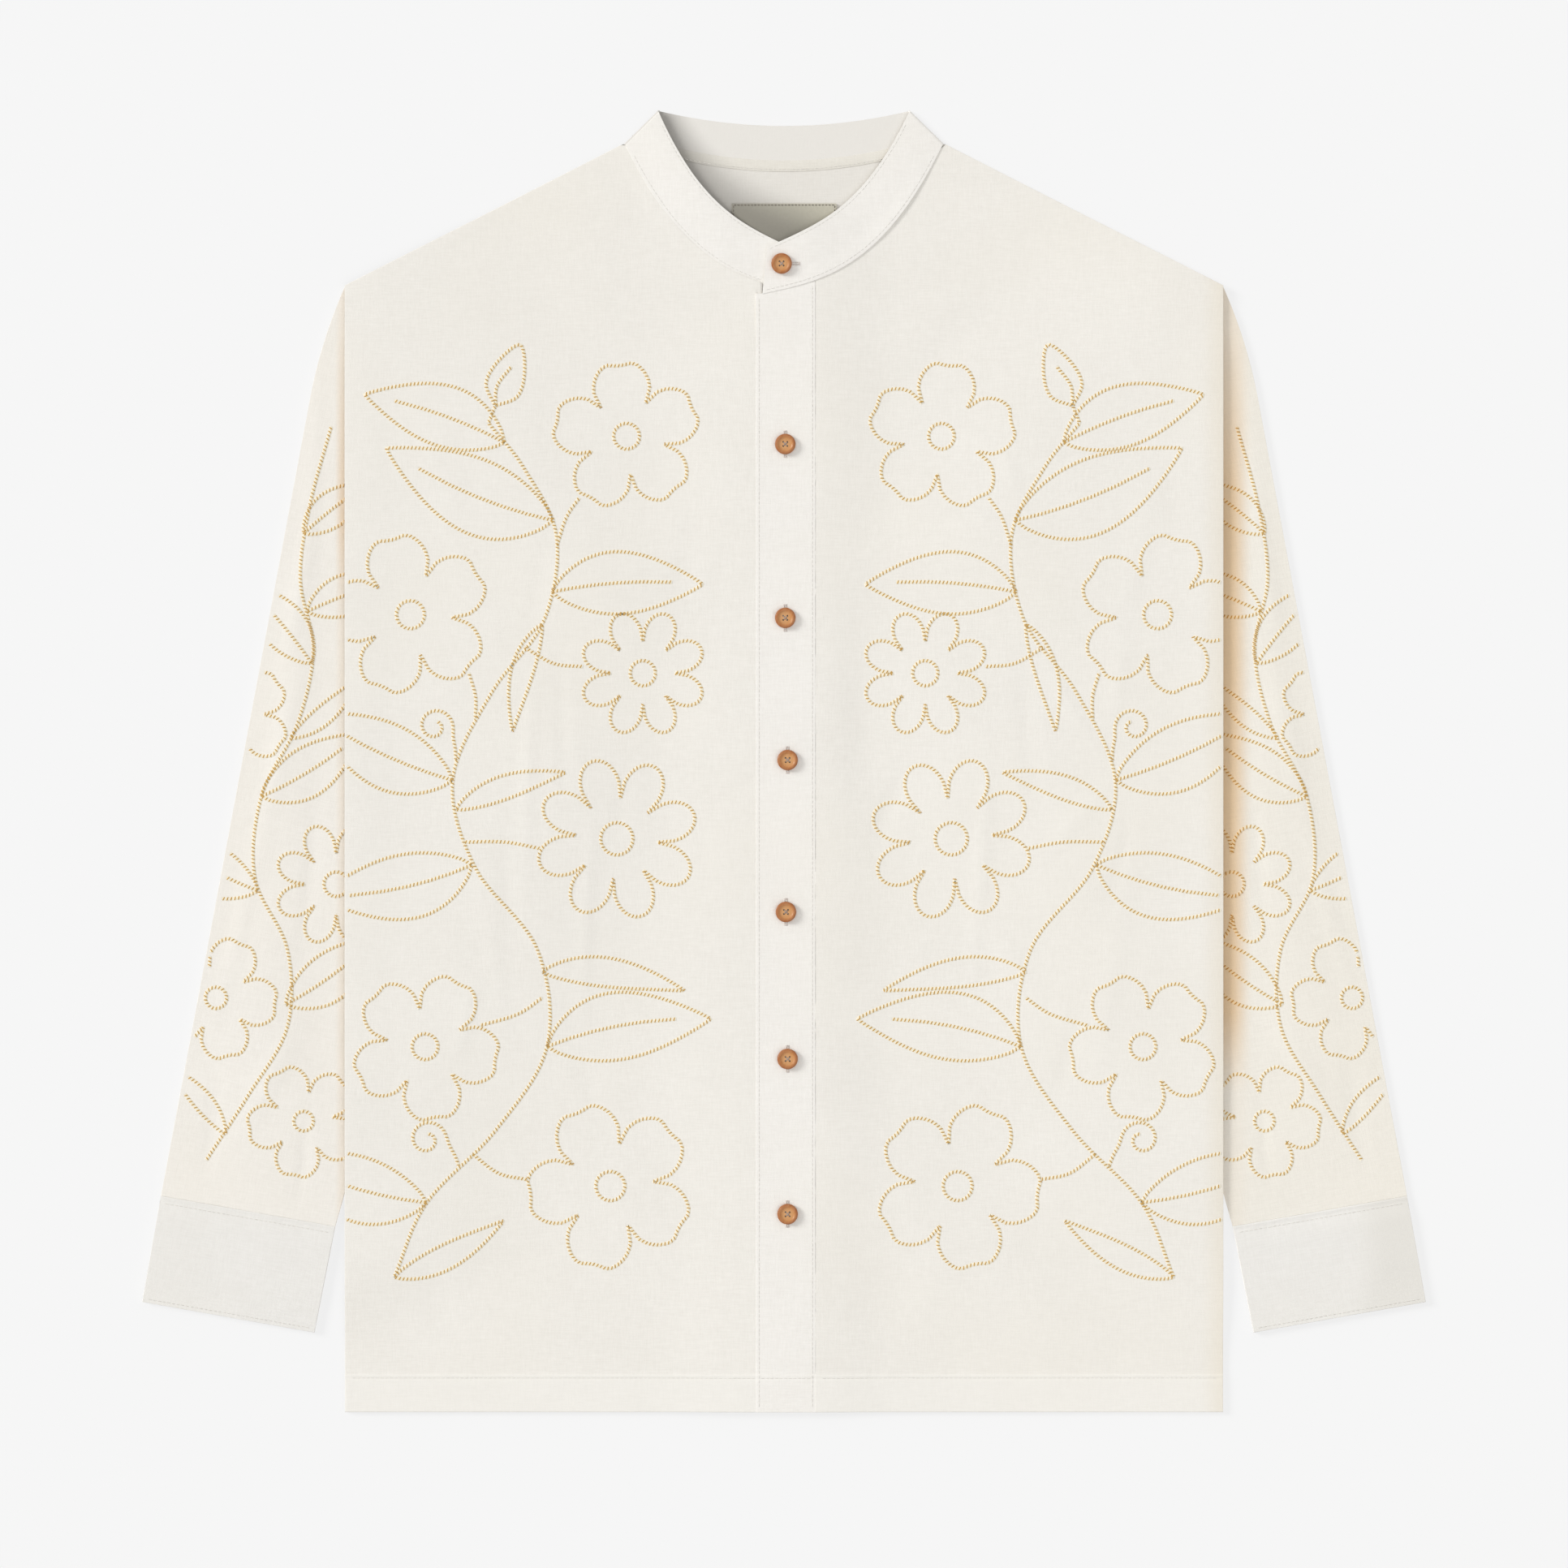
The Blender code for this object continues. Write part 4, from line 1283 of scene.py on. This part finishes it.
def band_line(v):
    """The band's inner face from its under end round the neck to its top end, at one height."""
    stations = [0.0, 0.0025, 0.006] + spaced_by(0.0, FRONT_END, FRONT_STATIONS)[1:]
    ends = [fold_station(BAND_WALL + PRESSED_FOLD * band_turn_radius(side, v), v) for side in (-1, 1)]
    right, left = (stations + [between(FRONT_END, end, t) for t in (0.5, 0.8, 0.96)] for end in ends)
    line = [band_front_point(-1, s, v) for s in right]
    line += [band_turn_point(-1, TURN_STEPS - k, v) for k in range(TURN_STEPS + 1)]
    line += [band_back_point(f, v) for f in spaced_by(-BACK_END, BACK_END, BACK_STATIONS)]
    line += [band_turn_point(1, k, v) for k in range(TURN_STEPS + 1)]
    return line + [band_front_point(1, s, v) for s in reversed(left)]


def lap_face(x, y):
    """Upper face of the band's top end."""
    return lap_inside(y) + UNDER_PLACKET + BAND_WALL


def tape_place(column, row):
    """A corner of the tape, which lies on the inside of the band along its seam."""
    x, y, z = band_back_point(between(-0.955, 0.955, column / TAPE_COLUMNS), 0.0)
    edge = row in (0, len(TAPE_ROWS) - 1)
    return x, y + TAPE_DEPTH * TAPE_ROWS[row] - 0.0004, z + 0.00012 - 0.00006 * edge


heights = [-0.012, 0.0, 0.012, 0.035, 0.06, 0.09] + spaced_by(0.13, 0.97, BAND_ROWS) + [0.985, 0.994, 1.0]
band_lines = [band_line(v) for v in heights]
band = cloth("neck_band", len(band_lines[0]) - 1, len(heights) - 1,
             lambda column, row: band_lines[row][column], band_linen, BAND_WALL)
# The tape carries the painted shadow inside the neck.
tape_linen = linen("tape_linen", TAPE_COLOUR, tint=painted_neck_shadow)
tape = cloth("neck_tape", TAPE_COLUMNS, len(TAPE_ROWS) - 1, tape_place, tape_linen, TAPE_WALL)
stitches = []
for side, first in ((1, 0.02), (-1, 0.25)):
    for v in (0.06, 0.94):
        line = [band_front_point(side, s, v) for s in spaced_by(first, 0.96, 60)]
        stitches += level_stitches(line, BAND_WALL)
seam = [band_back_point(f, 0.0) for f in spaced_by(-0.94, 0.94, 80)]
stitches += level_stitches([(x, y + 0.0008, z) for x, y, z in seam], 0.00018)
band_sewing = sewn("band_sewing", stitches, sewing_thread)
x, y = node_middle("button_1")
band_hole = sewn("band_buttonhole", buttonhole(x + 0.0030, y, 0.0, lap_face), hole_thread, 4)
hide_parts("collar_band")

# Label.
# A small woven label, left bare, sewn flat inside the back of the neck with fine grey stitches along its
# edges. The band's front ends cover its lower corners.
LABEL_COLOUR = (0.625, 0.592, 0.480)
LABEL_INSET = 0.0010
LABEL_BEVEL = 0.00025
LABEL_CORNER = math.radians(35)
LABEL_PITCH = 0.0021
LABEL_STITCH = (0.0015, 0.0007, 0.0004)
LABEL_THREAD = (0.24, 0.21, 0.17)
LABEL_THREAD_DARK = (0.16, 0.14, 0.12)


def label_weave():
    """A fine slanting weave in greyish beige, with painted shadow inside the neck."""
    finish = Finish("label_weave", roughness=0.7, sheen=0.1)
    rib = finish.wave("DIAGONAL", finish.place(), 1800.0)
    tone = finish.noise(500.0) * 0.7 + rib * 0.3
    shade = finish.mix(tone, scaled(LABEL_COLOUR, 0.90), scaled(LABEL_COLOUR, 1.08))
    finish.colour(painted_neck_shadow(finish, shade, depth=0.72, above=0.0016, reach=0.045))
    finish.bump(rib, distance=0.00006, strength=0.6)
    return finish.material


def label_panel(low, high):
    """The label as a thin plate with rounded edges."""
    bm = bmesh.new()
    bmesh.ops.create_cube(bm, size=1.0)
    bmesh.ops.scale(bm, verts=bm.verts, vec=[b - a for a, b in zip(low, high)])
    bmesh.ops.translate(bm, verts=bm.verts, vec=[(a + b) / 2 for a, b in zip(low, high)])
    bmesh.ops.bevel(bm, geom=bm.edges, offset=LABEL_BEVEL, affect="EDGES", segments=2, profile=0.5,
                    material=-1)
    piece = show("woven_label", mesh_of("woven_label", bm), label_weave())
    piece.data.set_sharp_from_angle(angle=LABEL_CORNER)
    return piece


low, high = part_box("label")
label = label_panel(low, high)
left, right = low[0] + LABEL_INSET, high[0] - LABEL_INSET
bottom, top = low[1] + LABEL_INSET, high[1] - LABEL_INSET
top_left, top_right = (left, top, high[2]), (right, top, high[2])
bottom_left, bottom_right = (left, bottom, high[2]), (right, bottom, high[2])
stitches = []
for line in ((top_left, top_right), (bottom_left, top_left), (bottom_right, top_right)):
    stitches += level_stitches(line, STITCH_RISE, LABEL_PITCH, LABEL_STITCH)
label_thread = thread("label_thread", LABEL_THREAD, LABEL_THREAD_DARK)
label_sewing = sewn("label_sewing", stitches, label_thread, 5)
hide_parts("label")

# Buttons.
# Seven turned buttons of orange-brown horn with a darker rounded rim and a shallow dish, sewn on through four
# holes with crossed pale thread.
BUTTON_DIAMETER = 0.0127
BUTTON_DEPTH = 0.0026
BUTTON_SEGMENTS = 48
BUTTON_CORNER = math.radians(42)
DISH = 0.70
HOLE_RADIUS = 0.00055
HOLE_OFFSET = 0.00125
CROSS_STITCH = (0.0037, 0.00036, 0.0005)
CROSS_RISE = 0.00012
CROSS_SHIFT = 0.00017
CROSS_COLOUR = (0.60, 0.50, 0.43)
CROSS_DARK = (0.36, 0.27, 0.22)
HORN_STOPS = ((0.0, (0.62, 0.335, 0.16)), (0.30, (0.63, 0.325, 0.130)), (0.60, (0.58, 0.265, 0.092)),
              (0.74, (0.47, 0.180, 0.055)), (0.90, (0.37, 0.122, 0.034)))
HORN_STREAK = (0.66, 0.42, 0.24)

# Half a button's outline from the middle of its face round to the middle of its back, as shares of its radius
# and its depth
BUTTON_PROFILE = (
    (0.0, DISH), (0.30, DISH), (0.54, DISH + 0.01), (0.63, 0.80), (0.70, 0.93), (0.76, 0.99), (0.83, 1.0),
    (0.90, 0.97), (0.955, 0.88), (0.99, 0.74), (1.0, 0.55), (1.0, 0.34), (0.96, 0.16), (0.86, 0.0),
    (0.0, 0.0),
)


def horn():
    """Horn, clouded and faintly streaked, greyish in the dish, paler round it and dark at the rim."""
    finish = Finish("horn", roughness=0.42, coat=0.06)
    away = finish.node("Attribute", {"attribute_name": "from_middle"}, output=2)
    streak = finish.noise(120.0, detail=3.0, turn=0.5, stretch=(6.0, 1.0, 1.0))
    cloud = finish.noise(260.0)
    base = finish.node("ValToRGB", {"stops": HORN_STOPS}, {"Fac": away + (cloud - 0.5) * 0.12})
    finish.colour(finish.mix(finish.span(streak, 0.35, 0.70) * 0.22, base, HORN_STREAK))
    finish.bump(cloud, distance=0.00004, strength=0.4)
    return finish.material


def button_blank():
    """One button about the origin, its back at z 0, before its holes are drilled."""
    bm = bmesh.new()
    radius = BUTTON_DIAMETER / 2
    corners = [bm.verts.new((radius * r, 0.0, BUTTON_DEPTH * z)) for r, z in BUTTON_PROFILE]
    edges = [bm.edges.new(pair) for pair in zip(corners, corners[1:])]
    bmesh.ops.spin(bm, geom=corners + edges, cent=(0, 0, 0), axis=(0, 0, 1), angle=2 * math.pi,
                   steps=BUTTON_SEGMENTS, use_merge=True)
    bmesh.ops.remove_doubles(bm, verts=bm.verts, dist=TINY)
    bmesh.ops.recalc_face_normals(bm, faces=bm.faces)
    return mesh_of("blank", bm)


def button_drill():
    """Four rods where a button's holes go."""
    bm = bmesh.new()
    for x in (-HOLE_OFFSET, HOLE_OFFSET):
        for y in (-HOLE_OFFSET, HOLE_OFFSET):
            made = bmesh.ops.create_cone(bm, cap_ends=True, segments=14, radius1=HOLE_RADIUS,
                                         radius2=HOLE_RADIUS, depth=4 * BUTTON_DEPTH)["verts"]
            bmesh.ops.translate(bm, verts=made, vec=(x, y, 0.0))
    return mesh_of("drill", bm)


def turned_button():
    """One button with its holes. Its corners know how far from the middle they lie."""
    blank = bpy.data.objects.new("blank", button_blank())
    drill = bpy.data.objects.new("drill", button_drill())
    for thing in (blank, drill):
        link(thing)
    holes = blank.modifiers.new("holes", "BOOLEAN")
    holes.operation = "DIFFERENCE"
    holes.solver = "EXACT"
    holes.object = drill
    drilled = bpy.data.meshes.new_from_object(blank.evaluated_get(bpy.context.evaluated_depsgraph_get()))
    for thing in (blank, drill):
        bpy.data.objects.remove(thing)
    away = [math.hypot(vertex.co.x, vertex.co.y) / (BUTTON_DIAMETER / 2) for vertex in drilled.vertices]
    drilled.attributes.new("from_middle", "FLOAT", "POINT").data.foreach_set("value", away)
    return drilled


def button_seat(node):
    """Where a button lies: the middle of its back, and how far it leans with the cloth below."""
    x, y = node_middle(node)
    if node != "button_1":
        return Matrix.Translation((x, y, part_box(node)[0][2]))
    slope = (lap_face(x, y + 0.0005) - lap_face(x, y - 0.0005)) / 0.001
    return Matrix.Translation((x, y, lap_face(x, y) + GAP)) @ Matrix.Rotation(math.atan(slope), 4, "X")


def crossed_stitches(seat):
    """Two pairs of stitches that cross over a button's holes."""
    stitches = []
    for turn in (math.radians(45), math.radians(-45)):
        for shift in (-CROSS_SHIFT, CROSS_SHIFT):
            ahead = Vector((math.cos(turn), math.sin(turn), 0.0))
            beside = Vector((-ahead.y, ahead.x, 0.0))
            middle = seat @ (beside * shift + Vector((0, 0, DISH * BUTTON_DEPTH + CROSS_RISE)))
            lean = seat.to_3x3()
            stitches.append((tuple(middle), tuple(lean @ ahead), tuple(lean @ Vector(UPWARD)), CROSS_STITCH))
    return stitches


drilled = turned_button()
horn_finish = horn()
stitches = []
for node in BUTTONS:
    seat = button_seat(node)
    mesh = drilled.copy()
    mesh.transform(seat)
    button = show("horn_" + node, mesh, horn_finish)
    mesh.set_sharp_from_angle(angle=BUTTON_CORNER)
    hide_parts(node)
    stitches += crossed_stitches(seat)
sewn("crossed_thread", stitches, thread("button_thread", CROSS_COLOUR, CROSS_DARK), 6)

# Stage.
# A plain pale floor, lit evenly enough that the shirt hardly shades it, under soft studio light: a low broad
# key from the picture's left, a weaker fill from above on the right and an even surround. A light has the
# direction that it comes from, its height and its spread in degrees, and its share of the light on the floor.
FLOOR_COLOUR = (0.225, 0.225, 0.225)
FLOOR_GLOW = 0.69
FLOOR_REACH = 6.0
FLOOR_Z = -0.0002
WHITE = (1.0, 1.0, 1.0, 1.0)
SURROUND_LIGHT = 0.59
LIGHTS = (
    {"name": "key_light", "from": (-1.0, 0.42), "height": 26, "spread": 20, "share": 0.27,
     "colour": (1.0, 0.995, 0.985)},
    {"name": "fill_light", "from": (0.8, -0.6), "height": 60, "spread": 60, "share": 0.14,
     "colour": (0.99, 0.995, 1.0)},
)
bm = bmesh.new()
bmesh.ops.create_grid(bm, x_segments=1, y_segments=1, size=FLOOR_REACH)
bmesh.ops.translate(bm, verts=bm.verts, vec=(0.0, 0.0, FLOOR_Z))
floor = bpy.data.objects.new("floor", mesh_of("floor", bm))
paper = Finish("floor_paper", roughness=0.95)
paper.colour(FLOOR_COLOUR)
paper.surface.inputs["Emission Color"].default_value = WHITE
paper.surface.inputs["Emission Strength"].default_value = FLOOR_GLOW
floor.data.materials.append(paper.material)
link(floor)

for row in LIGHTS:
    height = math.radians(row["height"])
    data = bpy.data.lights.new(row["name"], "SUN")
    data.angle = math.radians(row["spread"])
    data.energy = row["share"] * math.pi / math.sin(height)
    data.color = row["colour"]
    lamp = bpy.data.objects.new(row["name"], data)
    level = Vector((*row["from"], 0.0)).normalized()
    towards = level * math.cos(height) + Vector((0.0, 0.0, math.sin(height)))
    lamp.rotation_euler = (-towards).to_track_quat("-Z", "Y").to_euler()
    link(lamp)
surround = bpy.data.worlds.new("surround")
surround.use_nodes = True
light = surround.node_tree.nodes["Background"]
light.inputs["Color"].default_value = WHITE
light.inputs["Strength"].default_value = SURROUND_LIGHT
bpy.context.scene.world = surround
bpy.context.scene.view_settings.view_transform = "Standard"
